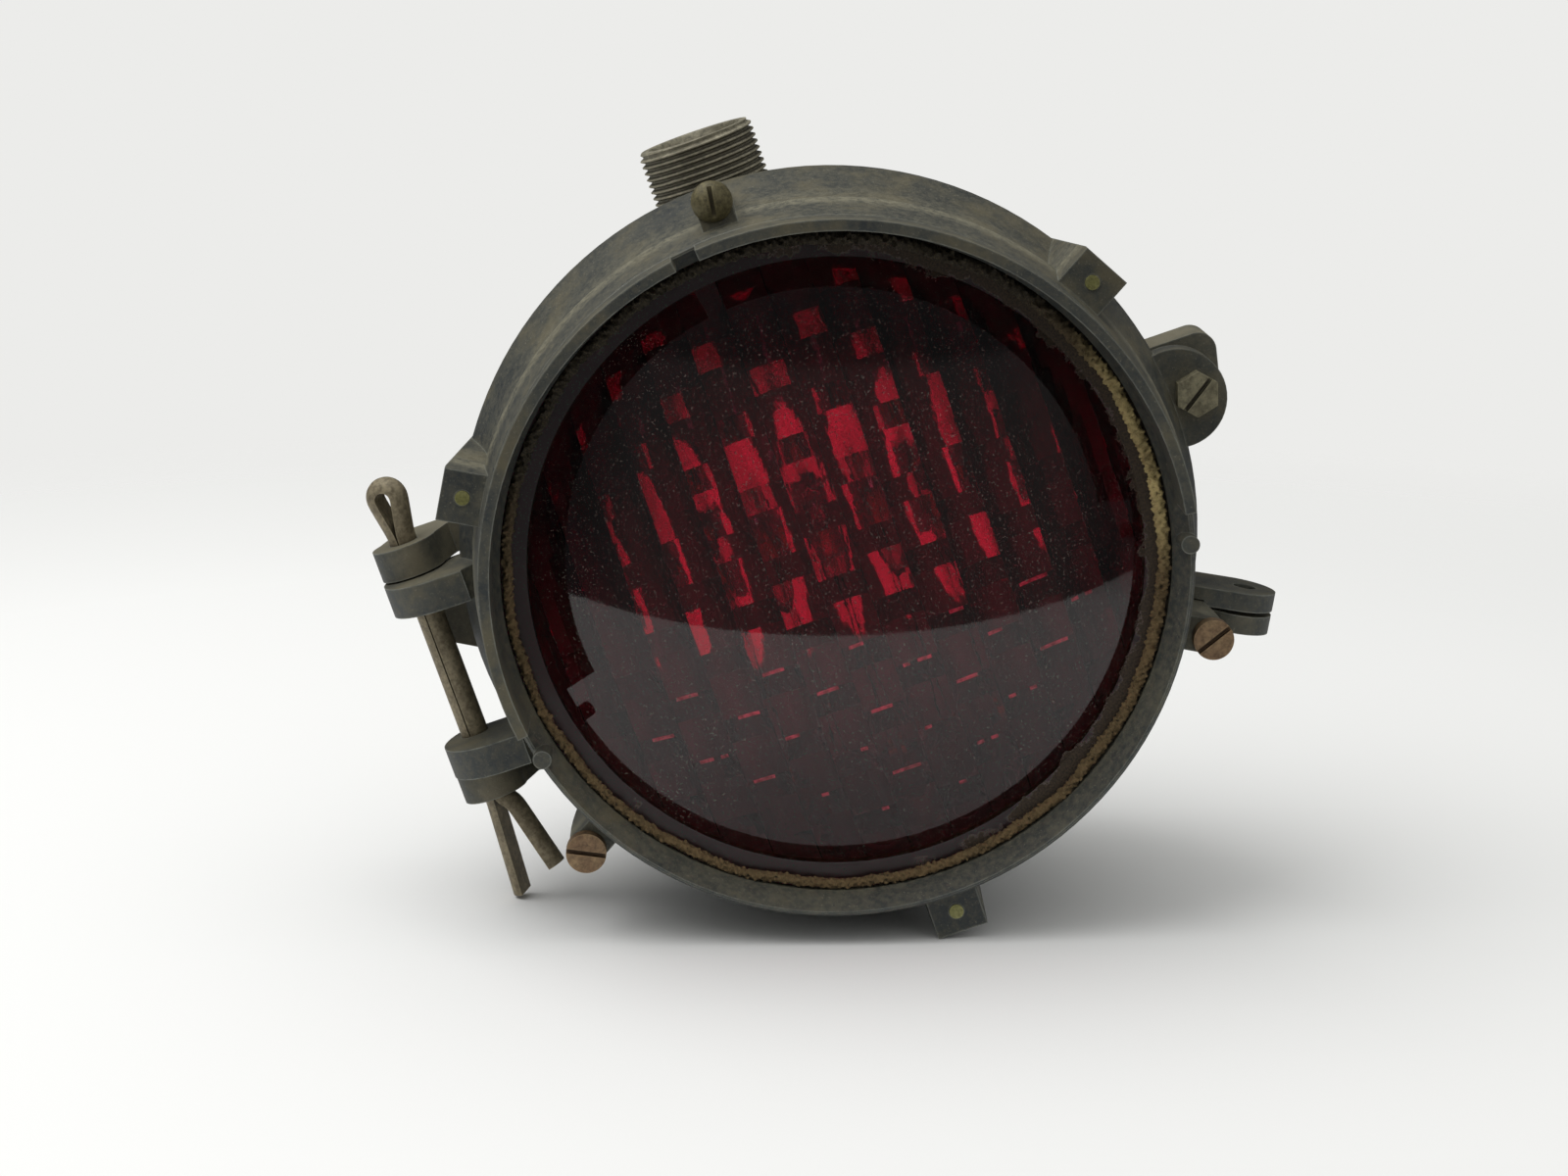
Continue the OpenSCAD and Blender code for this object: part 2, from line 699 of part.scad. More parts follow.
// The eye: half round bent about the eye's hole, with two limbs that close on the shank.
module pin_eye() {
    hole_r = eye_r - pin_d / 2;
    lean = asin(hole_r / (eye_z - shank_top));
    translate([0, 0, eye_z]) rotate([90, 0, 0]) rotate([0, 0, -lean])
        rotate_extrude(angle = 180 + 2 * lean) translate([hole_r, 0]) half_round(pin_d, 0);
    for (side = [0, 1]) mirror([side, 0, 0]) translate([hole_r * cos(lean), 0, eye_z - hole_r * sin(lean)])
        rotate([0, lean, 0]) translate([0, 0, 1]) pin_limb(pin_d - 0.3, hole_r / tan(lean) + 1, 0.1);
}

module hinge_pin() {
    color("DarkOliveGreen") placed() translate([-hinge_x, hinge_y, 0]) rotate([0, 0, pin_turn]) {
        difference() {
            union() {
                translate([0, 0, leg_z]) cylinder(d = pin_d, h = shank_top - leg_z);
                pin_eye();
            }
            translate([-pin_split / 2, -pin_d, leg_z - 1])
                cube([pin_split, 2 * pin_d, shank_top + 2 - leg_z]);
        }
        translate([0, 0, leg_z]) {
            mirror([1, 0, 0]) rotate([0, -leg_long_bend, 0]) pin_limb(pin_d, leg_long, pin_split / 2);
            rotate([0, -leg_kick, 0]) pin_limb(pin_d, leg_kick_l + 1.5, pin_split / 2);
            translate([leg_kick_l * sin(leg_kick), 0, -leg_kick_l * cos(leg_kick)])
                rotate([0, -leg_short_bend, 0]) translate([0, 0, 1.5])
                    pin_limb(pin_d, leg_short + 1.5, pin_split / 2);
        }
    }
}

module lamp_bracket() {
    color("Silver") placed() difference() {
        translate([-bracket_w / 2, bracket_y, -bracket_h / 2]) cube([bracket_w, bracket_t, bracket_h]);
        for (x = [-bracket_screw_x, bracket_screw_x]) translate([x, 0, 0])
            bar_y(small_d / 2 + hole_clear, bracket_y - 1, bracket_y + bracket_t + 1);
    }
}

// A cheese-headed screw pointing back along +Y, seated at y.
module small_screw(y, l) {
    difference() {
        union() {
            bar_y(small_head_d / 2, y - small_head_h, y);
            bar_y(small_d / 2, y - 0.5, y + l);
        }
        translate([-small_head_d, y - small_head_h - 1, -0.5]) cube([2 * small_head_d, 2.2, 1]);
    }
}

module bracket_screws() {
    color("Goldenrod") placed() for (x = [-bracket_screw_x, bracket_screw_x]) translate([x, 0, 0])
        small_screw(bracket_y, bracket_t + pad_h + 3);
}

module lampholder_shell() {
    color("Gold") placed() difference() {
        union() {
            bar_y(holder_d / 2, holder_y, bracket_y);
            bar_y(holder_d / 2 + 1.2, holder_y, holder_y + 3);
        }
        bar_y(holder_d / 2 - holder_wall, holder_y - 1, bracket_y + 1);
        translate([-8, insulator_y, -holder_d]) cube([16, insulator_t - 2, holder_d]);
    }
}

module lampholder_insulator() {
    color("SaddleBrown") placed() difference() {
        bar_y(holder_d / 2 - holder_wall - 0.1, insulator_y, bracket_y);
        for (x = [-5, 5]) translate([x, 0, 0]) bar_y(2 + hole_clear, insulator_y - 1, insulator_y + 6);
    }
}

module contact_plungers() {
    color("Goldenrod") placed() for (x = [-5, 5]) translate([x, 0, 0])
        bar_y(2, plunger_y, insulator_y + 6);
}

module lamp_cap() {
    color("Khaki") placed() {
        bar_y(cap_d / 2, cap_y, plunger_y);
        translate([0, cap_y + cap_l / 2, 0]) rotate([0, 90, 0])
            cylinder(r = 1, h = holder_d - 2 * holder_wall - 0.2, center = true);
    }
}

module lamp_bulb() {
    color("WhiteSmoke") placed() {
        translate([0, bulb_y + bulb_d / 2, 0]) sphere(d = bulb_d);
        translate([0, bulb_y + bulb_d / 2 + 8, 0]) rotate([-90, 0, 0])
            cylinder(r1 = bulb_d / 2 - 2.5, r2 = cap_d / 2 - 1.5, h = bulb_l - bulb_d / 2 - 8);
    }
}

module terminal_block() {
    color("SaddleBrown") placed() difference() {
        translate([-block_w / 2, block_y - block_d / 2, block_pad_z]) cube([block_w, block_d, block_h]);
        for (x = [-block_screw_x, block_screw_x]) {
            translate([x, block_y, block_pad_z - 1]) cylinder(d = small_d + 2 * hole_clear, h = block_h + 2);
            translate([x, block_y, block_pad_z + block_h / 2])
                cylinder(d = small_head_d + 1, h = block_h);
        }
        for (x = [-terminal_pitch / 2, terminal_pitch / 2]) translate([x, block_y, block_top_z - 8])
            cylinder(d = small_d + 2 * hole_clear, h = 9);
        translate([-1.5, block_y - block_d, block_top_z - 4]) cube([3, 2 * block_d, 5]);
    }
}

module terminal_bars() {
    color("Gold") placed() for (x = [-terminal_pitch / 2, terminal_pitch / 2]) difference() {
        translate([x - bar_w / 2, block_y - block_d / 2 + 2, block_top_z]) cube([bar_w, block_d - 4, bar_t]);
        translate([x, block_y, block_top_z - 1]) cylinder(d = small_d + 2 * hole_clear, h = bar_t + 2);
    }
}

// A cheese-headed screw pointing down, seated at height z.
module upright_screw(z, l) {
    difference() {
        union() {
            translate([0, 0, z]) cylinder(d = small_head_d, h = small_head_h);
            translate([0, 0, z - l]) cylinder(d = small_d, h = l + 0.5);
        }
        translate([-small_head_d, -0.5, z + small_head_h - 1.2]) cube([2 * small_head_d, 1, 2]);
    }
}

module terminal_screws() {
    color("Goldenrod") placed() for (x = [-terminal_pitch / 2, terminal_pitch / 2])
        translate([x, block_y, 0]) upright_screw(block_top_z + bar_t, bar_t + 7);
}

module block_screws() {
    color("Goldenrod") placed() for (x = [-block_screw_x, block_screw_x])
        translate([x, block_y, 0]) upright_screw(block_pad_z + block_h / 2, block_h / 2 + 8);
}

// A straight run of a lead between two points, a little past each of them.
module lead_run(p, q) {
    v = q - p;
    translate(p) rotate([0, acos(v[2] / norm(v)), atan2(v[1], v[0])])
        translate([0, 0, -lead_d / 3]) cylinder(d = lead_d, h = norm(v) + 2 * lead_d / 3);
}

module lamp_leads() {
    lead_z = block_top_z + bar_t + lead_d / 2;
    top_z = -sqrt(pow(holder_d / 2 - holder_wall - 0.1, 2) - 25);
    color("Black") placed() for (s = [-1, 1]) {
        foot = [s * terminal_pitch / 2, block_y + block_d / 2 - 4, lead_z];
        bend = [s * terminal_pitch / 2, block_y + block_d / 2 + 6, lead_z];
        rise = [s * 5, insulator_y + 4, top_z - 22];
        top = [s * 5, insulator_y + 4, top_z - lead_d];
        lead_run(foot, bend);
        lead_run(bend, rise);
        lead_run(rise, top);
    }
}

door_casting();
door_hasp();
red_lens();
lens_packing();
lens_gasket();
clamp_ring();
lug_studs();
hood_screw_top();
hood_screws_low();
closing_bolt();
bolt_keeper();
door_seal();
house_casting();
conduit_nipple();
conduit_locknut();
hinge_pin();
lamp_bracket();
bracket_screws();
lampholder_shell();
lampholder_insulator();
contact_plungers();
lamp_cap();
lamp_bulb();
terminal_block();
terminal_bars();
terminal_screws();
block_screws();
lamp_leads();
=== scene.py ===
import bpy
import bmesh
import math
import random
from mathutils import Matrix, Vector


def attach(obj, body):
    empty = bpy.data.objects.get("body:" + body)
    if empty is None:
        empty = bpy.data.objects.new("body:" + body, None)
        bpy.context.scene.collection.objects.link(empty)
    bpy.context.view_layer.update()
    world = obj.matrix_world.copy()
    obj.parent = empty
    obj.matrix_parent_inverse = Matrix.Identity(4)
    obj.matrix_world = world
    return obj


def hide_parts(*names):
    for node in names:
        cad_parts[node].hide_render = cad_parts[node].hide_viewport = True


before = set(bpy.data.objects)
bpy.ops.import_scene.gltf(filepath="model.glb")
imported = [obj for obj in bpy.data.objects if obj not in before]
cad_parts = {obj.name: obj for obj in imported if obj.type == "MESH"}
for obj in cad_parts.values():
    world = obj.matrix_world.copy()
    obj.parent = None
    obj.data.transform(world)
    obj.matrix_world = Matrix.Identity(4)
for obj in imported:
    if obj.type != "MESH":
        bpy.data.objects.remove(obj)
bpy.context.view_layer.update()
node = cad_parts


# House casting: the round drum behind the door, sand cast in aluminium alloy with its ears and lugs.
# It was painted dark grey, and years outdoors have worn the paint to an olive film, with bare metal
# on the edges. Its tone is also painted paler on top and darker beneath: painted light and shade.
# Everything else is fixed to it.
def linear(code):
    """An sRGB hex colour as Blender's linear colour."""
    parts = [int(code[i:i + 2], 16) / 255 for i in (1, 3, 5)]
    return [c / 12.92 if c <= 0.04045 else ((c + 0.055) / 1.055) ** 2.4 for c in parts] + [1.0]


def put(mat, kind, inputs=None, out=0, stops=(), **settings):
    """Adds one node with its settings, values, links and ramp stops, and gives back one of its outputs."""
    made = mat.node_tree.nodes.new("ShaderNode" + kind)
    for name, value in settings.items():
        setattr(made, name, value)
    for name, value in (inputs or {}).items():
        if isinstance(value, bpy.types.NodeSocket):
            mat.node_tree.links.new(value, made.inputs[name])
        else:
            made.inputs[name].default_value = linear(value) if isinstance(value, str) else value
    for place, _ in stops[2:]:
        made.color_ramp.elements.new(place)
    for mark, (place, tone) in zip(made.color_ramp.elements if stops else (), stops):
        mark.position = place
        mark.color = linear(tone) if isinstance(tone, str) else (tone, tone, tone, 1.0)
    return made.outputs[out] if made.outputs else None


def blank(name):
    """A new material with no nodes yet."""
    mat = bpy.data.materials.new(name)
    mat.use_nodes = True
    mat.node_tree.nodes.clear()
    return mat


def per_mm(size):
    """Scale of a pattern whose features are this many millimetres across."""
    return 1000.0 / size


def worn_edges(mat, width):
    """A mask of the edges, where a rounded normal departs from the true one."""
    eased = put(mat, "Bevel", {"Radius": width / 1000}, samples=6)
    true = put(mat, "NewGeometry", out="Normal")
    along = put(mat, "VectorMath", {0: eased, 1: true}, out="Value", operation="DOT_PRODUCT")
    return put(mat, "ValToRGB", {"Fac": along}, stops=[(0.86, 1.0), (0.985, 0.0)])


def hollows(mat, reach):
    """A mask of the corners and crevices from ambient occlusion, used for dust, dark tarnish and painted shade.
    """
    open_sky = put(mat, "AmbientOcclusion", {"Distance": reach / 1000}, out="AO", samples=6)
    return put(mat, "ValToRGB", {"Fac": open_sky}, stops=[(0.45, 1.0), (0.85, 0.0)])


def finish(mat, relief, height, inputs):
    """Closes a material with the surface shader over a relief, height in millimetres."""
    bump = put(mat, "Bump", {"Height": relief, "Distance": height / 1000})
    skin = put(mat, "BsdfPrincipled", {"Normal": bump, **inputs})
    put(mat, "OutputMaterial", {"Surface": skin})


sky = (0.326, 0.0, 0.945)  # the way up as the head lies on its table, in its own frame


def weathered_casting(name, kept, worn, film, top_light_and_dust, lining=None, ridge_dust_and_highlights=None):
    """Old paint on sand cast aluminium: matt and grainy, grey going olive, with pale dust on top and bare
    metal on its edges. Its tone also follows which way a face looks, paler on top and darker beneath:
    painted light and shade. The sand's grain of about 0.3 mm is drawn at 0.8 mm, so that it shows."""
    stain, dust_and_highlight_tone, grit_tone, bare_metal, primer = "#656050", "#7d7966", "#8f8b7a", "#909289", "#8d605b"
    mat = blank(name)
    here = put(mat, "TexCoord", out="Object")
    facing = put(mat, "TexCoord", out="Normal")
    cloud = put(mat, "TexNoise", {"Vector": here, "Scale": per_mm(26), "Detail": 7.0, "Roughness": 0.66})
    fine = put(mat, "TexNoise", {"Vector": here, "Scale": per_mm(2.4), "Detail": 6.0, "Roughness": 0.7})
    grain = put(mat, "TexNoise", {"Vector": here, "Scale": per_mm(0.8), "Detail": 3.0, "Roughness": 0.6})
    upward = put(mat, "VectorMath", {0: facing, 1: sky}, out="Value", operation="DOT_PRODUCT")
    forward = put(mat, "VectorMath", {0: facing, 1: (0.0, -1.0, 0.0)}, out="Value",
                  operation="DOT_PRODUCT")
    # Faces turned up as the head lies on its table shift to the paler film, and faces turned down to the dark
    # kept paint: painted light and painted shade, over some weathering.
    top_lit_under_shaded = put(mat, "MapRange", {"Value": upward, "From Min": -0.3, "From Max": 0.6, "To Min": -0.2,
                                 "To Max": top_light_and_dust})
    # Faces turned to the front shift a little toward the paler film: painted light on the front.
    front_painted_light = put(mat, "MapRange", {"Value": forward, "From Min": 0.6, "From Max": 0.95, "To Max": 0.12})
    # The lowest part shifts toward the dark kept paint: darker towards the bottom.
    height = put(mat, "SeparateXYZ", {"Vector": here}, out="Z")
    low = put(mat, "MapRange", {"Value": height, "From Min": -0.235, "From Max": -0.19,
                                "To Min": -0.15, "To Max": 0.0})
    # The paint's tone is moved by the painted light above, beneath and in front, and by the darker bottom.
    weather_and_painted_light = put(mat, "Math", {0: top_lit_under_shaded, 1: put(mat, "Math", {0: front_painted_light, 1: low})})
    paint = put(mat, "ValToRGB", {"Fac": put(mat, "Math", {0: cloud, 1: weather_and_painted_light})}, stops=[
        (0.38, kept), (0.5, worn), (0.63, film)])
    patch = put(mat, "ValToRGB", {"Fac": fine}, stops=[(0.42, 0.0), (0.72, 0.5)])
    mottled = put(mat, "Mix", {0: patch, 6: paint, 7: stain}, out=2, data_type="RGBA")
    dust_and_painted_light_share = put(mat, "MapRange", {"Value": upward, "From Min": 0.1, "From Max": 0.95,
                                    "To Max": 0.06 + 2.5 * top_light_and_dust})
    # The door's bands add pale lines on its collar edge and ridge, partly dust and wear and partly painted
    # highlight, more on faces turned up.
    if ridge_dust_and_highlights:
        bands_upward_share = put(mat, "MapRange", {"Value": upward, "From Min": -0.6, "From Max": 0.4, "To Min": 0.1})
        banded_dust_and_highlights = put(mat, "Math", {0: ridge_dust_and_highlights(mat), 1: bands_upward_share}, operation="MULTIPLY")
        dust_and_painted_light_share = put(mat, "Math", {0: dust_and_painted_light_share, 1: banded_dust_and_highlights}, operation="MAXIMUM")
    # Faces turned to the front get no dust and keep the darker paint: painted shade on the front, besides dust
    # that does not lie there.
    front_shade_gate = put(mat, "MapRange", {"Value": forward, "From Min": 0.5, "From Max": 0.9,
                                   "To Min": 1.0, "To Max": 0.0})
    dust_and_painted_light_share = put(mat, "Math", {0: dust_and_painted_light_share, 1: front_shade_gate}, operation="MULTIPLY")
    ledge = put(mat, "MapRange", {"Value": upward, "From Min": -0.3, "From Max": 0.4,
                                  "To Min": 0.12, "To Max": 0.6})
    corners = put(mat, "Math", {0: hollows(mat, 8), 1: ledge}, operation="MULTIPLY")
    # This dust share also carries the painted highlight lines on the door and the painted shade on the front.
    lying = put(mat, "Math", {0: dust_and_painted_light_share, 1: corners}, operation="MAXIMUM")
    broken = put(mat, "ValToRGB", {"Fac": fine}, stops=[(0.34, 0.25), (0.6, 1.0)])
    dust = put(mat, "Math", {0: lying, 1: broken}, operation="MULTIPLY")
    dusted_and_painted_light = put(mat, "Mix", {0: dust, 6: mottled, 7: dust_and_highlight_tone}, out=2, data_type="RGBA")
    grit = put(mat, "ValToRGB", {"Fac": grain}, stops=[(0.62, 0.0), (0.72, 0.45)])
    gritty = put(mat, "Mix", {0: grit, 6: dusted_and_painted_light, 7: grit_tone}, out=2, data_type="RGBA")
    spots = put(mat, "TexNoise", {"Vector": here, "Scale": per_mm(5), "Detail": 5.0, "Roughness": 0.7})
    rubbed = put(mat, "Math", {0: worn_edges(mat, 1.0), 1: put(mat, "ValToRGB", {"Fac": spots}, stops=[
        (0.36, 0.3), (0.6, 1.0)])}, operation="MULTIPLY")
    bare = put(mat, "Mix", {0: rubbed, 6: gritty, 7: bare_metal}, out=2, data_type="RGBA")
    chips = put(mat, "Math", {0: worn_edges(mat, 2.2), 1: put(mat, "ValToRGB", {"Fac": spots}, stops=[
        (0.68, 0.0), (0.71, 0.8)])}, operation="MULTIPLY")
    colour = put(mat, "Mix", {0: chips, 6: bare, 7: primer}, out=2, data_type="RGBA")
    rough = put(mat, "ValToRGB", {"Fac": fine}, stops=[(0.3, 0.5), (0.7, 0.72)])
    metal = put(mat, "Math", {0: rubbed, 1: 0.6}, operation="MULTIPLY")
    if lining:
        pale, silver = lining(mat)
        lined = put(mat, "Mix", {0: pale, 6: colour, 7: put(mat, "ValToRGB", {"Fac": cloud}, stops=[
            (0.35, "#9a9890"), (0.7, "#7c7870")])}, out=2, data_type="RGBA")
        colour = put(mat, "Mix", {0: silver, 6: lined, 7: put(mat, "ValToRGB", {"Fac": cloud}, stops=[
            (0.35, "#d4d2ca"), (0.7, "#b3aea2")])}, out=2, data_type="RGBA")
        rough = put(mat, "Mix", {0: silver, 6: rough, 7: "#8c8c8c"}, out=2, data_type="RGBA")
        metal = put(mat, "Math", {0: metal, 1: put(mat, "Math", {0: silver, 1: 0.7}, operation="MULTIPLY")},
                    operation="MAXIMUM")
    relief = put(mat, "Mix", {0: put(mat, "ValToRGB", {"Fac": fine}, stops=[(0.2, 0.0), (0.8, 0.7)]), 6: grain,
                              7: fine}, out=2, data_type="RGBA")
    finish(mat, relief, 0.16, {"Base Color": colour, "Roughness": rough, "Metallic": metal,
                               "Specular IOR Level": 0.4})
    return mat


def dress(name, mat, edge=0.0):
    """Gives a CAD node its material, and rounds its edges where a radius in millimetres is given."""
    piece = node[name]
    piece.data.materials.clear()
    piece.data.materials.append(mat)
    if edge:
        weld = piece.modifiers.new("one skin", "WELD")
        weld.merge_threshold = 2e-6
        ease = piece.modifiers.new("eased edges", "BEVEL")
        ease.width = edge / 1000
        ease.segments = 2
        ease.limit_method = "ANGLE"
        ease.angle_limit = math.radians(35)
        ease.harden_normals = False
        even = piece.modifiers.new("even shading", "WEIGHTED_NORMAL")
        even.keep_sharp = False


axis_drop, conduit_back = 119.5, 100.0  # lens axis below the conduit's seat, conduit behind the ring's front


def inside_back(mat):
    """Masks of the dished back inside, painted pale, and of the silvered disc behind the lamp."""
    floor_r, drum_r, dish_front, dish_back, paint_front = 60.0, 115.5, 127.8, 165.3, 120.0
    pale_r, dark_r, disc_r, disc_end = 78.0, 99.0, 45.5, 48.5
    here = put(mat, "TexCoord", out="Object")
    x, y, z = (put(mat, "SeparateXYZ", {"Vector": here}, out=axis) for axis in "XYZ")
    flat = put(mat, "CombineXYZ", {"X": x, "Z": put(mat, "Math", {0: z, 1: axis_drop / 1000})})
    radius = put(mat, "VectorMath", {0: flat}, out="Value", operation="LENGTH")
    outward = put(mat, "MapRange", {"Value": radius, "From Min": floor_r / 1000, "From Max": drum_r / 1000})
    back = put(mat, "MapRange", {"Value": y, "From Min": (dish_front - conduit_back) / 1000,
                                 "From Max": (dish_back - conduit_back) / 1000})
    bowl = put(mat, "VectorMath", {0: put(mat, "CombineXYZ", {"X": outward, "Y": back})}, out="Value",
               operation="LENGTH")
    within = put(mat, "Math", {0: bowl, 1: 0.995}, operation="LESS_THAN")
    behind = put(mat, "Math", {0: y, 1: (paint_front - conduit_back) / 1000}, operation="GREATER_THAN")
    lit = put(mat, "MapRange", {"Value": radius, "From Min": pale_r / 1000, "From Max": dark_r / 1000,
                                "To Min": 1.0, "To Max": 0.0})
    pale = put(mat, "Math", {0: put(mat, "Math", {0: within, 1: behind}, operation="MULTIPLY"), 1: lit},
               operation="MULTIPLY")
    middle = put(mat, "MapRange", {"Value": radius, "From Min": disc_r / 1000, "From Max": disc_end / 1000,
                                   "To Min": 1.0, "To Max": 0.0})
    return pale, put(mat, "Math", {0: pale, 1: middle}, operation="MULTIPLY")


house_skin = weathered_casting("cast aluminium, dark paint weathered matt", "#3a3d3a", "#504f45", "#6e6856",
                               top_light_and_dust=0.16, lining=inside_back)
dress("house_casting", house_skin, edge=0.9)


# Conduit nipple: a short length of steel pipe, threaded 11 turns to the inch and screwed into the
# boss on top of the house. Its thread is worn and oxidised to a dull olive grey.
def tarnished(name, clean, dull, dark, shine, matt, metallic, grain_size, height):
    """Bare metal gone dull: cloudy tarnish, dark hollows, and edges rubbed clean."""
    mat = blank(name)
    here = put(mat, "TexCoord", out="Object")
    cloud = put(mat, "TexNoise", {"Vector": here, "Scale": per_mm(9), "Detail": 6.0, "Roughness": 0.65})
    fine = put(mat, "TexNoise", {"Vector": here, "Scale": per_mm(grain_size), "Detail": 6.0, "Roughness": 0.7})
    toned = put(mat, "ValToRGB", {"Fac": cloud}, stops=[(0.36, dull), (0.62, clean)])
    pits = put(mat, "ValToRGB", {"Fac": fine}, stops=[(0.36, 0.75), (0.6, 0.0)])
    mottled = put(mat, "Mix", {0: pits, 6: toned, 7: dark}, out=2, data_type="RGBA")
    sunk = put(mat, "Mix", {0: hollows(mat, 2.5), 6: mottled, 7: dark}, out=2, data_type="RGBA")
    touched = put(mat, "Math", {0: worn_edges(mat, 0.7), 1: put(mat, "ValToRGB", {"Fac": fine}, stops=[
        (0.3, 0.2), (0.6, 0.9)])}, operation="MULTIPLY")
    colour = put(mat, "Mix", {0: touched, 6: sunk, 7: clean}, out=2, data_type="RGBA")
    rough = put(mat, "ValToRGB", {"Fac": fine}, stops=[(0.3, shine), (0.7, matt)])
    finish(mat, fine, height, {"Base Color": colour, "Roughness": rough, "Metallic": metallic})
    return mat


def mesh_piece(name, verts, faces, mat, body, slot, *stands_for, sharp=30):
    """A new piece from points in metres, smooth but for its sharp edges, on its body; its slot is not used."""
    mesh = bpy.data.meshes.new(name)
    mesh.from_pydata(verts, [], faces)
    work = bmesh.new()
    work.from_mesh(mesh)
    bmesh.ops.remove_doubles(work, verts=work.verts, dist=1e-6)
    bmesh.ops.dissolve_degenerate(work, dist=1e-6, edges=work.edges)
    bmesh.ops.recalc_face_normals(work, faces=work.faces)
    for face in work.faces:
        face.smooth = True
    for edge in work.edges:
        edge.smooth = edge.calc_face_angle(0.0) < math.radians(sharp)
    work.to_mesh(mesh)
    work.free()
    mesh.materials.append(mat)
    piece = bpy.data.objects.new(name, mesh)
    bpy.context.scene.collection.objects.link(piece)
    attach(piece, body)
    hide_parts(*stands_for)


pitch = 25.4 / 11
crest_r, root_r, shank_r, bore_r = 20.955, 19.55, 19.0, 16.5
thread_top, nipple_foot = 26.0, -25.0
end_drop, end_slope = 1.3, 0.8
mouth_wide, mouth_deep = 0.6, 0.8
turn, windings = 80, range(-2, 13)
profile = [(0.0, root_r), (0.1, root_r), (0.42, crest_r), (0.58, crest_r), (0.9, root_r)]
nick_half, nick_tall, nick_floor = 2.0, 1.6, root_r - 0.2
dent = random.Random(11)
nicks = [(dent.uniform(0, math.tau), dent.uniform(3, 25), dent.uniform(0.25, 0.9)) for _ in range(26)]


def thread_point(way, height):
    """A point on the thread's surface, worn by a few nicks and drawn in at its open end."""
    rise = (height / pitch - way / math.tau) % 1.0
    marks = profile + [(1.0, root_r)]
    for (a, ra), (b, rb) in zip(marks, marks[1:]):
        if a <= rise <= b:
            radius = ra + (rb - ra) * (rise - a) / (b - a)
    for at, level, depth in nicks:
        near = math.hypot(math.remainder(way - at, math.tau) * crest_r / nick_half,
                          (height - level) / nick_tall)
        if near < 1:
            radius = max(nick_floor, radius - depth * (1 - near * near))
    radius = min(radius, crest_r - end_drop + (thread_top - height) * end_slope)
    return (radius * math.cos(way) / 1000, radius * math.sin(way) / 1000, height / 1000)


def ring(radius, height):
    """One turn of points about the conduit's axis."""
    return [(radius * math.cos(math.tau * c / turn) / 1000, radius * math.sin(math.tau * c / turn) / 1000,
             height / 1000) for c in range(turn)]


rows = [ring(bore_r, nipple_foot), ring(shank_r, nipple_foot), ring(shank_r, 0.0)]
first = len(rows)
levels = sorted({round((k + place) * pitch, 4) for k in windings for place, _ in profile})
for level in levels:
    row = []
    for c in range(turn):
        height = level + pitch * c / turn
        row.append(thread_point(math.tau * c / turn, min(max(height, 0.0), thread_top)))
    rows.append(row)
last = len(rows) - 1
rows += [ring(bore_r + mouth_wide, thread_top), ring(bore_r, thread_top - mouth_deep)]
# A full turn lifts a row of the thread by one pitch, so there it meets the row one profile higher.
seam = []
for a in range(len(rows)):
    b = (a + 1) % len(rows)
    for c in range(turn):
        d = (c + 1) % turn
        far_a, far_b = (min(row + len(profile), last) if d == 0 and first <= row <= last else row
                        for row in (a, b))
        seam.append(list(dict.fromkeys([a * turn + c, far_a * turn + d, far_b * turn + d, b * turn + c])))
pipe_skin = tarnished("cut steel pipe thread, oxidised", "#aaa48e", "#7d7864", "#524f44",
                      shine=0.45, matt=0.72, metallic=0.2, grain_size=1.4, height=0.08)
mesh_piece("threaded_nipple", [p for row in rows for p in row], seam, pipe_skin, "house", "conduit_steel",
           "conduit_nipple", sharp=40)


# Locknut: a flat steel hexagon that holds the nipple from inside the house. It was turned from bar and
# left plain, and has gone brown.
nut_skin = tarnished("turned steel, oxidised brown", "#7d776a", "#55493a", "#33291f",
                     shine=0.4, matt=0.65, metallic=0.6, grain_size=1.6, height=0.04)
dress("conduit_locknut", nut_skin, edge=0.5)


# Terminal block: moulded phenolic, screwed to a pad in the bottom of the house. It carries two brass
# bars with clamp screws for the cable's tails.
def moulded_phenolic(name):
    """Dark brown moulding with a dull sheen and a faint wood flour fleck, drawn at 0.8 mm so that it shows."""
    mat = blank(name)
    here = put(mat, "TexCoord", out="Object")
    fleck = put(mat, "TexNoise", {"Vector": here, "Scale": per_mm(0.8), "Detail": 4.0, "Roughness": 0.7})
    cloud = put(mat, "TexNoise", {"Vector": here, "Scale": per_mm(14), "Detail": 5.0, "Roughness": 0.6})
    tone = put(mat, "ValToRGB", {"Fac": fleck}, stops=[(0.4, "#2b1710"), (0.62, "#4a2a1b")])
    lying = put(mat, "Math", {0: hollows(mat, 6), 1: put(mat, "ValToRGB", {"Fac": cloud}, stops=[
        (0.4, 0.0), (0.7, 0.5)])}, operation="MULTIPLY")
    colour = put(mat, "Mix", {0: lying, 6: tone, 7: "#6b5f4d"}, out=2, data_type="RGBA")
    rough = put(mat, "ValToRGB", {"Fac": cloud}, stops=[(0.3, 0.35), (0.7, 0.55)])
    finish(mat, fleck, 0.02, {"Base Color": colour, "Roughness": rough})
    return mat


phenolic = moulded_phenolic("moulded phenolic, dulled")
dress("terminal_block", phenolic, edge=0.7)
brass = tarnished("turned brass, tarnished", "#a08a4e", "#7c6a3c", "#4a3f24",
                  shine=0.3, matt=0.55, metallic=0.75, grain_size=1.2, height=0.03)
for part in ("terminal_bars", "terminal_screws", "block_screws"):
    dress(part, brass, edge=0.35)


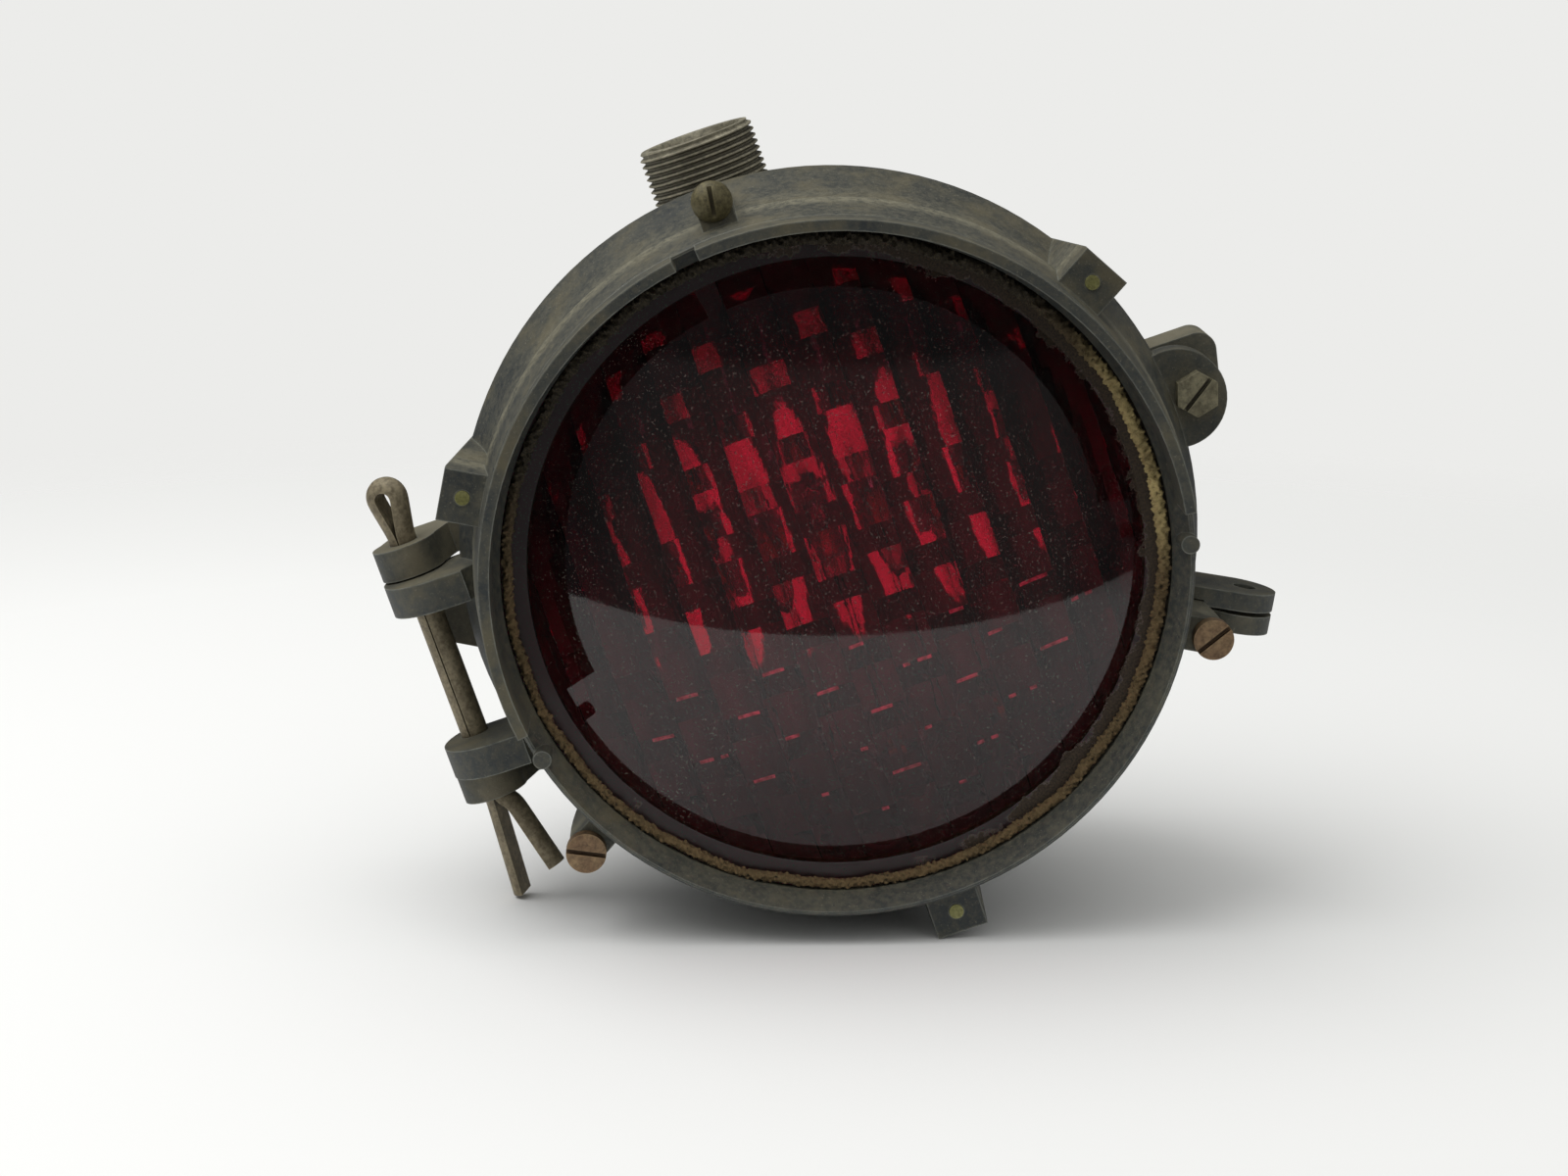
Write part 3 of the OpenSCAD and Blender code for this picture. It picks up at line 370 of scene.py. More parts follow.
# Lamp leads: two short rubber covered wires from the terminals up to the lampholder. Each lies on its
# bar, bends up once and enters the holder's side opening.
def lead_cover(name):
    """Black rubber with a chalky bloom."""
    mat = blank(name)
    here = put(mat, "TexCoord", out="Object")
    bloom = put(mat, "TexNoise", {"Vector": here, "Scale": per_mm(2.5), "Detail": 5.0, "Roughness": 0.7})
    colour = put(mat, "ValToRGB", {"Fac": bloom}, stops=[(0.35, "#1b1a19"), (0.7, "#3a3835")])
    rough = put(mat, "ValToRGB", {"Fac": bloom}, stops=[(0.3, 0.55), (0.7, 0.75)])
    finish(mat, bloom, 0.03, {"Base Color": colour, "Roughness": rough})
    return mat


def in_frame(x, y, z):
    """A point given in millimetres from the lens axis and the ring's front, in the part's frame."""
    return Vector((x, y - conduit_back, z - axis_drop)) / 1000


lead_r, lead_round, bend_steps = 1.3, 8.0, 8
bar_x, bar_end, bar_bend, bar_z = 8, 118, 128, -79.7
holder_x, holder_y, holder_low, holder_in = 5, 150.8, -33.46, -14.06
lead_skin = lead_cover("rubber lead cover, bloomed")
for side, tag in ((-1, "left"), (1, "right")):
    corners = [Vector((bar_x * side, bar_end, bar_z)), Vector((bar_x * side, bar_bend, bar_z)),
               Vector((holder_x * side, holder_y, holder_low)), Vector((holder_x * side, holder_y, holder_in))]
    route = [corners[0]]
    for before, corner, after in zip(corners, corners[1:], corners[2:]):
        enter = corner + (before - corner).normalized() * lead_round
        leave = corner + (after - corner).normalized() * lead_round
        for t in range(bend_steps + 1):
            part_way = t / bend_steps
            route.append(enter.lerp(corner, part_way).lerp(corner.lerp(leave, part_way), part_way))
    route.append(corners[-1])
    route = [in_frame(*p) for p in route]
    line = bpy.data.curves.new("lamp_lead_" + tag, "CURVE")
    line.dimensions = "3D"
    line.bevel_depth = lead_r / 1000
    line.bevel_resolution = 3
    line.use_fill_caps = True
    spline = line.splines.new("POLY")
    spline.points.add(len(route) - 1)
    for point, place in zip(spline.points, route):
        point.co = (*place, 1.0)
    line.materials.append(lead_skin)
    lead = bpy.data.objects.new("lamp_lead_" + tag, line)
    bpy.context.scene.collection.objects.link(lead)
    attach(lead, "house")
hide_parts("lamp_leads")


# Lampholder: a drawn brass shell on a steel bracket across the back, with a moulded insulator and two
# sprung brass plungers that press on the lamp's cap.
strip_skin = tarnished("steel strip, dull zinc", "#8f9090", "#6d6e6c", "#4b4a46",
                       shine=0.35, matt=0.6, metallic=0.8, grain_size=1.8, height=0.03)
dress("lamp_bracket", strip_skin, edge=0.4)
dress("bracket_screws", brass, edge=0.3)
drawn_brass = tarnished("drawn brass, dulled", "#a8925a", "#86723f", "#55482a",
                        shine=0.28, matt=0.5, metallic=0.8, grain_size=1.5, height=0.02)
dress("lampholder_shell", drawn_brass, edge=0.3)
dress("contact_plungers", drawn_brass, edge=0.3)
dress("lampholder_insulator", phenolic, edge=0.3)


# Lamp: a clear blown glass bulb on a brass bayonet cap, held in the lampholder. It is seen only with the
# door open.
def blown_glass(name):
    """Clear thin glass with a trace of dust."""
    mat = blank(name)
    here = put(mat, "TexCoord", out="Object")
    dust = put(mat, "TexNoise", {"Vector": here, "Scale": per_mm(5), "Detail": 6.0, "Roughness": 0.7})
    colour = put(mat, "ValToRGB", {"Fac": dust}, stops=[(0.45, "#f4f6f4"), (0.85, "#b9b4a6")])
    rough = put(mat, "ValToRGB", {"Fac": dust}, stops=[(0.4, 0.03), (0.75, 0.2)])
    finish(mat, dust, 0.01, {"Base Color": colour, "Roughness": rough, "Transmission Weight": 0.92,
                             "IOR": 1.47})
    return mat


dress("lamp_cap", drawn_brass, edge=0.3)
bulb_skin = blown_glass("blown clear glass")
wall, tip_r, crown_r, side_share = 0.8, 0.02, 5, 0.4
bulb_line = [(9.5, 124.8), (12.5, 118.0), (15.8, 111.0), (18.6, 105.0), (19.9, 98.5), (19.6, 92.0),
             (17.2, 85.5), (12.6, 80.6), (6.6, 77.6), (tip_r, 76.8)]
inside = [(max(r - wall, tip_r), y + (wall if r < crown_r else wall * side_share))
          for r, y in reversed(bulb_line)]
turned = bulb_line + inside
count = 48
verts, faces = [], []
for r, y in turned:
    for c in range(count):
        way = math.tau * c / count
        verts.append(in_frame(r * math.cos(way), y, r * math.sin(way)))
for a in range(len(turned)):
    b = (a + 1) % len(turned)
    for c in range(count):
        d = (c + 1) % count
        faces.append((a * count + c, a * count + d, b * count + d, b * count + c))
mesh_piece("bulb_glass", verts, faces, bulb_skin, "house", "clear_glass", "lamp_bulb", sharp=60)


# Door casting: the hinged front, cast in the same alloy in one piece with its ring, flared skirt, lugs,
# ears and the half collar at its front. Its paint is bluer where it is kept, and worn at the rim, and the
# pale lines on its collar edge and ridge are partly dust and partly painted highlight.
def door_dust_and_highlight_bands(mat):
    """A mask by depth in the door of pale lines on the collar's front edge and the ring's ridge, partly wear
    and dust and partly painted highlight, and of the hollow behind them, where dust lies."""
    front, rear = -0.116, -0.031
    depth = put(mat, "SeparateXYZ", {"Vector": put(mat, "TexCoord", out="Object")}, out="Y")
    share = put(mat, "MapRange", {"Value": depth, "From Min": front, "From Max": rear})
    return put(mat, "ValToRGB", {"Fac": share}, stops=[
        (0.0, 0.6), (0.03, 0.6), (0.07, 0.25), (0.34, 0.2), (0.41, 0.95), (0.455, 0.95), (0.47, 0.6),
        (0.66, 0.35), (0.76, 0.0)])


door_skin = weathered_casting("cast aluminium, blue grey paint worn to metal", "#303536", "#42443f", "#5c5745",
                              top_light_and_dust=0.01, ridge_dust_and_highlights=door_dust_and_highlight_bands)
dress("door_casting", door_skin, edge=0.4)
dress("door_hasp", door_skin, edge=0.5)


# Door seal and lens gasket: soft rubber rings, one pressed in the door's rear groove and one behind the
# lens. Both have gone hard and grey.
def aged_rubber(name):
    """Black rubber gone grey, matt, with fine cracks."""
    mat = blank(name)
    here = put(mat, "TexCoord", out="Object")
    cracks = put(mat, "TexVoronoi", {"Vector": here, "Scale": per_mm(1.6)}, out="Distance",
                 feature="DISTANCE_TO_EDGE")
    cloud = put(mat, "TexNoise", {"Vector": here, "Scale": per_mm(8), "Detail": 5.0, "Roughness": 0.6})
    colour = put(mat, "ValToRGB", {"Fac": cloud}, stops=[(0.35, "#232323"), (0.7, "#3d3c3a")])
    rough = put(mat, "ValToRGB", {"Fac": cloud}, stops=[(0.3, 0.7), (0.7, 0.9)])
    crazed = put(mat, "ValToRGB", {"Fac": cracks}, stops=[(0.0, 0.0), (0.08, 1.0)])
    finish(mat, crazed, 0.05, {"Base Color": colour, "Roughness": rough})
    return mat


rubber = aged_rubber("rubber ring, aged grey")
dress("door_seal", rubber, edge=0.3)
dress("lens_gasket", rubber, edge=0.3)


# Lens: pressed red glass with a smooth dome outside and rows of small prisms inside, laid like bricks in
# upright columns that spread the beam. Its flat rim sits in the door's pocket.
dome_r, dome_y = 230.91, 218.41
glass_deep, skin_deep = 7.0, 2.5
inner_r = dome_r - glass_deep
seat_y, rim_back = 12.5, 20.5
view_r, rim_from, lens_r = 104.5, 104.6, 114.4


def pressed_glass(name):
    """Deep red glass with a film of grit: glossy where clean, dull where specks lie, caked with dirt at
    its rim, and painted a darker red in its outer zone toward the top, painted shade. Grit of about 0.2 mm is
    drawn at 0.7 mm, so that it shows."""
    mat = blank(name)
    here = put(mat, "TexCoord", out="Object")
    film = put(mat, "TexNoise", {"Vector": here, "Scale": per_mm(40), "Detail": 5.0, "Roughness": 0.6})
    grit = put(mat, "TexNoise", {"Vector": here, "Scale": per_mm(0.7), "Detail": 2.0, "Roughness": 0.5})
    caked = put(mat, "TexNoise", {"Vector": here, "Scale": per_mm(14), "Detail": 8.0, "Roughness": 0.7})
    x, z = (put(mat, "SeparateXYZ", {"Vector": here}, out=axis) for axis in "XZ")
    flat = put(mat, "CombineXYZ", {"X": x, "Z": put(mat, "Math", {0: z, 1: axis_drop / 1000})})
    radius = put(mat, "VectorMath", {0: flat}, out="Value", operation="LENGTH")
    outer = put(mat, "MapRange", {"Value": radius, "From Min": 0.097, "From Max": 0.107,
                                  "To Min": -0.22, "To Max": 0.3})
    swept = put(mat, "MapRange", {"Value": x, "From Min": -0.02, "From Max": 0.08,
                                  "To Min": -0.3, "To Max": 0.0})
    crust = put(mat, "Math", {0: put(mat, "Math", {0: caked, 1: outer}), 1: swept})
    dirt = put(mat, "ValToRGB", {"Fac": crust}, stops=[(0.62, 0.0), (0.66, 1.0)])
    lying = put(mat, "ValToRGB", {"Fac": film}, stops=[(0.35, 0.2), (0.65, 0.6)])
    loose = put(mat, "ValToRGB", {"Fac": grit}, stops=[(0.63, 0.0), (0.68, 1.0)])
    specks = put(mat, "Math", {0: loose, 1: lying}, operation="MULTIPLY")
    cover = put(mat, "Math", {0: specks, 1: dirt}, operation="MAXIMUM")
    soil = put(mat, "Mix", {0: dirt, 6: "#84716a", 7: put(mat, "ValToRGB", {"Fac": grit}, stops=[
        (0.35, "#221a12"), (0.65, "#463828")])}, out=2, data_type="RGBA")
    # The outer zone of the glass, most at the top, is painted a darker red: painted shade for the dark room
    # mirrored there and the dark inside seen through it.
    outside = put(mat, "MapRange", {"Value": radius, "From Min": 0.052, "From Max": 0.080})
    upper = put(mat, "MapRange", {"Value": z, "From Min": -0.125, "From Max": -0.075, "To Min": 0.3})
    painted_shade_outer_top = put(mat, "Math", {0: outside, 1: upper}, operation="MULTIPLY")
    glass = put(mat, "Mix", {0: painted_shade_outer_top, 6: "#dc4c72", 7: "#6c1a2e"}, out=2, data_type="RGBA")
    colour = put(mat, "Mix", {0: put(mat, "ValToRGB", {"Fac": cover}, stops=[(0.0, 0.0), (0.2, 1.0)]), 6: glass,
                              7: soil}, out=2, data_type="RGBA")
    rim = put(mat, "Math", {0: radius, 1: rim_from / 1000}, operation="GREATER_THAN")
    ground = put(mat, "Math", {0: rim, 1: 0.55}, operation="MULTIPLY")
    dull = put(mat, "Math", {0: dirt, 1: ground}, operation="MAXIMUM")
    rough = put(mat, "Mix", {0: dull, 6: put(mat, "ValToRGB", {"Fac": film}, stops=[(0.3, 0.02), (0.75, 0.07)]),
                             7: "#e6e6e6"}, out=2, data_type="RGBA")
    clear = put(mat, "Math", {0: 1.0, 1: cover}, operation="SUBTRACT", use_clamp=True)
    centre = put(mat, "VectorMath", {0: here, 1: in_frame(0, dome_y, 0)}, out="Value", operation="DISTANCE")
    inner = put(mat, "Math", {0: centre, 1: (dome_r - skin_deep) / 1000}, operation="LESS_THAN")
    drawn = put(mat, "VectorMath", {0: here, 1: (1.0, 1.0, 0.3)}, operation="MULTIPLY")
    flow = put(mat, "TexNoise", {"Vector": drawn, "Scale": per_mm(4.5), "Detail": 2.0, "Roughness": 0.5})
    wavy = put(mat, "Math", {0: flow, 1: inner}, operation="MULTIPLY")
    finish(mat, put(mat, "Math", {0: grit, 1: 0.004, 2: wavy}, operation="MULTIPLY_ADD"), 0.3,
           {"Base Color": colour, "Roughness": rough, "Transmission Weight": clear, "IOR": 1.52})
    return mat


def ground_glass(name):
    """The edge and back of the lens's rim: ground, dark with old sealing compound, so that no light leaves
    there."""
    mat = blank(name)
    here = put(mat, "TexCoord", out="Object")
    smear = put(mat, "TexNoise", {"Vector": here, "Scale": per_mm(6), "Detail": 5.0, "Roughness": 0.65})
    colour = put(mat, "ValToRGB", {"Fac": smear}, stops=[(0.35, "#2a1215"), (0.7, "#3e1d1f")])
    rough = put(mat, "ValToRGB", {"Fac": smear}, stops=[(0.3, 0.7), (0.7, 0.9)])
    finish(mat, smear, 0.05, {"Base Color": colour, "Roughness": rough})
    return mat


def sill_glint_glass(name):
    """Some sills of the prisms in a pale red matt skin: painted highlights for prism edges catching the light,
    that show as short pale red dashes through the lens.
    """
    mat = blank(name)
    here = put(mat, "TexCoord", out="Object")
    glint_grain = put(mat, "TexNoise", {"Vector": here, "Scale": per_mm(3), "Detail": 4.0, "Roughness": 0.6})
    colour = put(mat, "ValToRGB", {"Fac": glint_grain}, stops=[(0.4, "#9a3448"), (0.6, "#f08c9a")])
    rough = put(mat, "ValToRGB", {"Fac": glint_grain}, stops=[(0.3, 0.5), (0.7, 0.75)])
    finish(mat, glint_grain, 0.03, {"Base Color": colour, "Roughness": rough})
    return mat


column, brick = 15.0, 24.0
flute, wedge, cap_from, cap_fall = 2.6, 2.4, 0.66, 0.85
half_step, half_sill = 0.18, 0.65
inner_edge, blend = 103.2, 9.0
first_column, column_lines = -8, 7
first_half, half_lines = -10, 4
sill_strips = (1, 2, 3, 4)
glint_top, glint_r, glint_share = -15, 86, 0.7
glass_face, rim_face, sill_face = 0, 1, 2
dome_rings, facet_angle = 26, math.radians(14)


def brick_rise(x, z):
    """How far a prism stands in from the inner sphere at a point of the lens."""
    which = math.floor(x / column + 0.5)
    u = x / column + 0.5 - which - 0.5
    v = (z / brick + 0.5 * (which % 2)) % 1.0
    slope = v / cap_from if v < cap_from else 1 - cap_fall * (v - cap_from) / (1 - cap_from)
    return flute * (1 - 4 * u * u) + wedge * slope


# Inner face: a net of lines along the columns and across the bricks, pulled in to a round edge.
lines_x, lines_z = [], []
for i in range(first_column, -first_column):
    left = (i - 0.5) * column
    lines_x += [left + half_step, *(left + column * k / 6 for k in (1, 2, 3, 4, 5)), left + column - half_step]
for j in range(first_half, -first_half):
    low = j * brick / 2
    lines_z += [low + half_sill, low + brick * 0.16, low + brick * 0.33, low + brick / 2 - half_sill]
points, grid = [], {}
for a, x in enumerate(lines_x):
    for b, z in enumerate(lines_z):
        r = math.hypot(x, z)
        pull = min(1.0, inner_edge / r) if r else 1.0
        px, pz = x * pull, z * pull
        fade = max(0.0, min(1.0, (inner_edge - math.hypot(px, pz)) / blend))
        y = dome_y - math.sqrt(inner_r ** 2 - px * px - pz * pz) + fade * brick_rise(x, z)
        grid[a, b] = (len(points), pull < 1.0)
        points.append(in_frame(px, y, pz))
facets, kinds = [], []
glint_pick = random.Random(3)
for a in range(len(lines_x) - 1):
    for b in range(len(lines_z) - 1):
        quad = [grid[a, b], grid[a + 1, b], grid[a + 1, b + 1], grid[a, b + 1]]
        if not all(outside for _, outside in quad):
            facets.append([index for index, _ in quad])
            column_no, sill_no = a // column_lines + first_column, b // half_lines + first_half + 1
            # A share of the low sills get the pale red skin: painted highlights where the prism edges would
            # catch the light.
            sill = (b % half_lines == half_lines - 1 and a % column_lines in sill_strips
                    and (column_no + sill_no) % 2 == 0)
            low_down = lines_z[b] < glint_top and math.hypot(lines_x[a], lines_z[b]) < glint_r
            glinting = sill and low_down and glint_pick.random() < glint_share
            kinds.append(sill_face if glinting else glass_face)
lens_mesh = bpy.data.meshes.new("lens_glass")
lens_mesh.from_pydata(points, [], facets)
lens_mesh.polygons.foreach_set("material_index", kinds)
work = bmesh.new()
work.from_mesh(lens_mesh)
bmesh.ops.delete(work, geom=[v for v in work.verts if not v.link_faces], context="VERTS")
bmesh.ops.remove_doubles(work, verts=work.verts, dist=2e-6)
bmesh.ops.dissolve_degenerate(work, dist=2e-6, edges=work.edges)
# From that edge the skin grows round the flat rim and over the smooth dome to its middle.
outline = [(view_r, rim_back), (lens_r, rim_back), (lens_r, seat_y), (view_r, seat_y)]
for k in range(1, dome_rings):
    r = view_r * (1 - k / dome_rings)
    outline.append((r, dome_y - math.sqrt(dome_r ** 2 - r * r)))
edge_loop = [e for e in work.edges if e.is_boundary]
for r, y in outline:
    grown = bmesh.ops.extrude_edge_only(work, edges=edge_loop)["geom"]
    edge_loop = [g for g in grown if isinstance(g, bmesh.types.BMEdge)]
    for v in {v for e in edge_loop for v in e.verts}:
        way = math.atan2(v.co.z + axis_drop / 1000, v.co.x)
        v.co = in_frame(r * math.cos(way), y, r * math.sin(way))
grown = bmesh.ops.extrude_edge_only(work, edges=edge_loop)["geom"]
bmesh.ops.pointmerge(work, verts=[g for g in grown if isinstance(g, bmesh.types.BMVert)],
                     merge_co=in_frame(0, dome_y - dome_r, 0))
bmesh.ops.recalc_face_normals(work, faces=work.faces)
for face in work.faces:
    face.smooth = True
    middle = face.calc_center_median() - in_frame(0, 0, 0)
    rim = math.hypot(middle.x, middle.z) > inner_edge / 1000 and middle.y > (seat_y + 0.5) / 1000
    face.material_index = rim_face if rim else face.material_index
for edge in work.edges:
    edge.smooth = edge.calc_face_angle(0.0) < facet_angle
# Growing the skin leaves its elements in a chance order, so they are put in order by their places.
for parts, place in ((work.verts, lambda v: v.co), (work.edges, lambda e: e.verts[0].co + e.verts[1].co),
                     (work.faces, lambda f: f.calc_center_median())):
    for number, part in enumerate(sorted(parts, key=lambda p: tuple(place(p)))):
        part.index = number
    parts.sort()
work.to_mesh(lens_mesh)
work.free()
lens_mesh.materials.append(pressed_glass("pressed red glass, gritty"))
lens_mesh.materials.append(ground_glass("ground glass rim, sealed dark"))
lens_mesh.materials.append(sill_glint_glass("red glass, painted glints on prism sills"))
lens = bpy.data.objects.new("lens_glass", lens_mesh)
bpy.context.scene.collection.objects.link(lens)
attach(lens, "door")
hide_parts("red_lens")


# Packing: a soft flax cord pressed into the corner between the lens's rim and the ring's lip, and crumbled
# with age. It bulges in and is dry straw on the closing side, and is darker towards the top.
def laid_flax(name):
    """Tallowed flax yarn: matt, hairy, straw to dirty khaki. Its fibres of about 0.05 mm are drawn at 0.6 mm,
    so that they show."""
    mat = blank(name)
    here = put(mat, "TexCoord", out="Object")
    x, z = (put(mat, "SeparateXYZ", {"Vector": here}, out=axis) for axis in "XZ")
    right = put(mat, "MapRange", {"Value": x, "From Min": 0.098, "From Max": 0.106})
    middle = put(mat, "MapRange", {"Value": z, "From Min": -0.160, "From Max": -0.136})
    dry = put(mat, "Math", {0: right, 1: middle}, operation="MULTIPLY")
    up_it = put(mat, "MapRange", {"Value": z, "From Min": -axis_drop / 1000, "From Max": -0.0075})
    fibre = put(mat, "TexNoise", {"Vector": here, "Scale": per_mm(0.6), "Detail": 4.0, "Roughness": 0.7})
    cloud = put(mat, "TexNoise", {"Vector": here, "Scale": per_mm(16), "Detail": 5.0, "Roughness": 0.65})
    flax = put(mat, "Mix", {0: dry, 6: "#6e593a", 7: "#cfba80"}, out=2, data_type="RGBA")
    patches = put(mat, "ValToRGB", {"Fac": cloud}, stops=[(0.4, 0.1), (0.7, 0.75)])
    soiled = put(mat, "Mix", {0: patches, 6: flax, 7: "#57492f"}, out=2, data_type="RGBA")
    # The cord is darker towards the top.
    top_darkening = put(mat, "ValToRGB", {"Fac": up_it}, stops=[(0.25, 0.0), (0.6, 0.95)])
    darkened_at_top = put(mat, "Mix", {0: top_darkening, 6: soiled, 7: "#2b261e"}, out=2, data_type="RGBA")
    # The cord's crevices and its corners against the lip and the glass are darkened: painted shade.
    crevice_shaded = put(mat, "Mix", {0: hollows(mat, 1.4), 6: darkened_at_top, 7: "#2f281b"}, out=2, data_type="RGBA")
    tufts = put(mat, "ValToRGB", {"Fac": fibre}, stops=[(0.5, 0.0), (0.72, 0.3)])
    colour = put(mat, "Mix", {0: tufts, 6: crevice_shaded, 7: "#a69872"}, out=2, data_type="RGBA")
    rough = put(mat, "ValToRGB", {"Fac": fibre}, stops=[(0.3, 0.85), (0.7, 1.0)])
    finish(mat, fibre, 0.35, {"Base Color": colour, "Roughness": rough})
    return mat


rope_marks = [(0, 110.6, 2.1), (90, 111.0, 1.9), (180, 111.3, 1.6), (270, 111.2, 1.6), (360, 110.6, 2.1)]
rope_y, rope_deep = 10.5, 1.8
lip_r, rim_y = 113.4, 12.4
hair, lump_share, sway = 0.22, 0.075, 0.22
steps, sides = 1800, 14
fray = random.Random(5)
lumps = [(fray.randint(60, 300), fray.choice((-5, -4, -3, 3, 4, 5)), fray.uniform(0, math.tau))
         for _ in range(14)]
sways = [(fray.choice((9, 13, 17, 23, 31, 41)), fray.uniform(0, math.tau)) for _ in range(6)]
verts, faces = [], []
for s in range(steps):
    way = math.tau * s / steps
    place = math.degrees(way)
    for (a, ra, wa), (b, rb, wb) in zip(rope_marks, rope_marks[1:]):
        if a <= place <= b:
            ease = 0.5 - 0.5 * math.cos(math.pi * (place - a) / (b - a))
            centre, half = ra + (rb - ra) * ease, wa + (wb - wa) * ease
    stray = sway * sum(math.sin(n * way + p) for n, p in sways)
    for k in range(sides):
        around = math.tau * k / sides
        lump = 1 + lump_share * sum(math.sin(n * way + m * around + p) for n, m, p in lumps)
        r = min(centre + stray + half * lump * math.cos(around) + fray.uniform(-hair, hair), lip_r)
        y = min(rope_y + rope_deep * lump * math.sin(around) + fray.uniform(-hair, hair), rim_y)
        verts.append(in_frame(r * math.cos(way), y, r * math.sin(way)))
for s in range(steps):
    a, b = s * sides, (s + 1) % steps * sides
    for k in range(sides):
        faces.append((a + k, a + (k + 1) % sides, b + (k + 1) % sides, b + k))
mesh_piece("flax_packing", verts, faces, laid_flax("laid flax packing, soiled"), "door", "rope",
           "lens_packing", sharp=80)


# Clamp ring: a threaded brass ring that holds the lens from inside, with four notches for a key. It was
# turned, and is brown with age.
ring_skin = tarnished("turned brass ring, browned", "#8f7a45", "#6c5a35", "#40361f",
                      shine=0.35, matt=0.6, metallic=0.7, grain_size=1.8, height=0.04)
dress("clamp_ring", ring_skin, edge=0.5)


# Studs, hood screws and closing bolt: brass, bronze and steel in the ring's lugs, green brown with weather.
# The two low screws have cheese heads gone tan, the top one a rounded head, and the bolt a slotted hexagon.
stud_skin = tarnished("cut brass, weathered green", "#9b9a68", "#87864f", "#5d5a36",
                      shine=0.4, matt=0.65, metallic=0.45, grain_size=1.0, height=0.05)
dress("lug_studs", stud_skin, edge=0.25)
domed_skin = tarnished("turned brass, olive brown", "#827a58", "#625b40", "#3a3526",
                       shine=0.4, matt=0.62, metallic=0.4, grain_size=1.6, height=0.06)
dress("hood_screw_top", domed_skin, edge=0.6)
cheese_skin = tarnished("turned bronze, tan brown", "#98805f", "#7d6248", "#4c3a2a",
                        shine=0.4, matt=0.65, metallic=0.35, grain_size=1.8, height=0.08)
dress("hood_screws_low", cheese_skin, edge=0.6)
bolt_skin = tarnished("forged steel, olive brown", "#9c967a", "#7b755d", "#4c483a",
                      shine=0.42, matt=0.65, metallic=0.3, grain_size=1.8, height=0.06)
dress("closing_bolt", bolt_skin, edge=0.6)
keeper_skin = tarnished("spring steel, dull", "#77746a", "#58544a", "#38352e",
                        shine=0.4, matt=0.6, metallic=0.6, grain_size=1.2, height=0.03)
dress("bolt_keeper", keeper_skin, edge=0.2)


# Hinge pin: one length of half round steel bent into an eye, its two legs laid flat to flat through the
# ears and spread below them so that it can't lift out.
hinge_x, hinge_y = -141.5, 60.0
pin_r, split, pin_turn = 4.7, 0.25, math.radians(-18)
shank_low, shank_top, eye_z, eye_hole, eye_steps = -50.5, 50.8, 64.3, 2.9, 24
lean = math.asin(eye_hole / (eye_z - shank_top))
kick, kick_l, spread, short_leg = math.radians(50), 4.5, math.radians(15), 27.0
bend_long, long_leg = math.radians(4), 36.0
step, smoothings = 1.2, 4
outline = [(-split - long_leg * math.sin(bend_long), shank_low - long_leg * math.cos(bend_long)),
           (-split, shank_low), (-split, shank_top)]
for k in range(eye_steps + 1):
    way = math.pi + lean - (math.pi + 2 * lean) * k / eye_steps
    outline.append((eye_hole * math.cos(way), eye_z + eye_hole * math.sin(way)))
knee = (split + kick_l * math.sin(kick), shank_low - kick_l * math.cos(kick))
outline += [(split, shank_top), (split, shank_low), knee,
            (knee[0] + short_leg * math.sin(spread), knee[1] - short_leg * math.cos(spread))]
fine = []
for (ax, az), (bx, bz) in zip(outline, outline[1:]):
    parts = max(1, round(math.hypot(bx - ax, bz - az) / step))
    fine += [(ax + (bx - ax) * k / parts, az + (bz - az) * k / parts) for k in range(parts)]
fine.append(outline[-1])
for _ in range(smoothings):
    fine = [fine[0]] + [((a[0] + 2 * b[0] + c[0]) / 4, (a[1] + 2 * b[1] + c[1]) / 4)
                        for a, b, c in zip(fine, fine[1:], fine[2:])] + [fine[-1]]
arc = 10
verts, faces = [], []
for k, (px, pz) in enumerate(fine):
    ax, az = fine[max(k - 1, 0)]
    bx, bz = fine[min(k + 1, len(fine) - 1)]
    length = math.hypot(bx - ax, bz - az)
    tx, tz = (bx - ax) / length, (bz - az) / length
    for m in range(arc + 1):
        phi = math.pi * m / arc
        out, side = pin_r * math.sin(phi), pin_r * math.cos(phi)
        lx, lz = px - tz * out, pz + tx * out
        verts.append(in_frame(hinge_x + lx * math.cos(pin_turn) - side * math.sin(pin_turn),
                              hinge_y + lx * math.sin(pin_turn) + side * math.cos(pin_turn), lz))
across = arc + 1
for k in range(len(fine) - 1):
    for m in range(across):
        n = (m + 1) % across
        faces.append((k * across + m, k * across + n, (k + 1) * across + n, (k + 1) * across + m))
faces.append(tuple(range(across)))
faces.append(tuple((len(fine) - 1) * across + m for m in reversed(range(across))))
pin_skin = tarnished("bent half round steel, rusted olive", "#9a8f75", "#7c715b", "#504634",
                     shine=0.45, matt=0.7, metallic=0.25, grain_size=1.8, height=0.08)
mesh_piece("split_pin", verts, faces, pin_skin, "house", "steel", "hinge_pin", sharp=45)


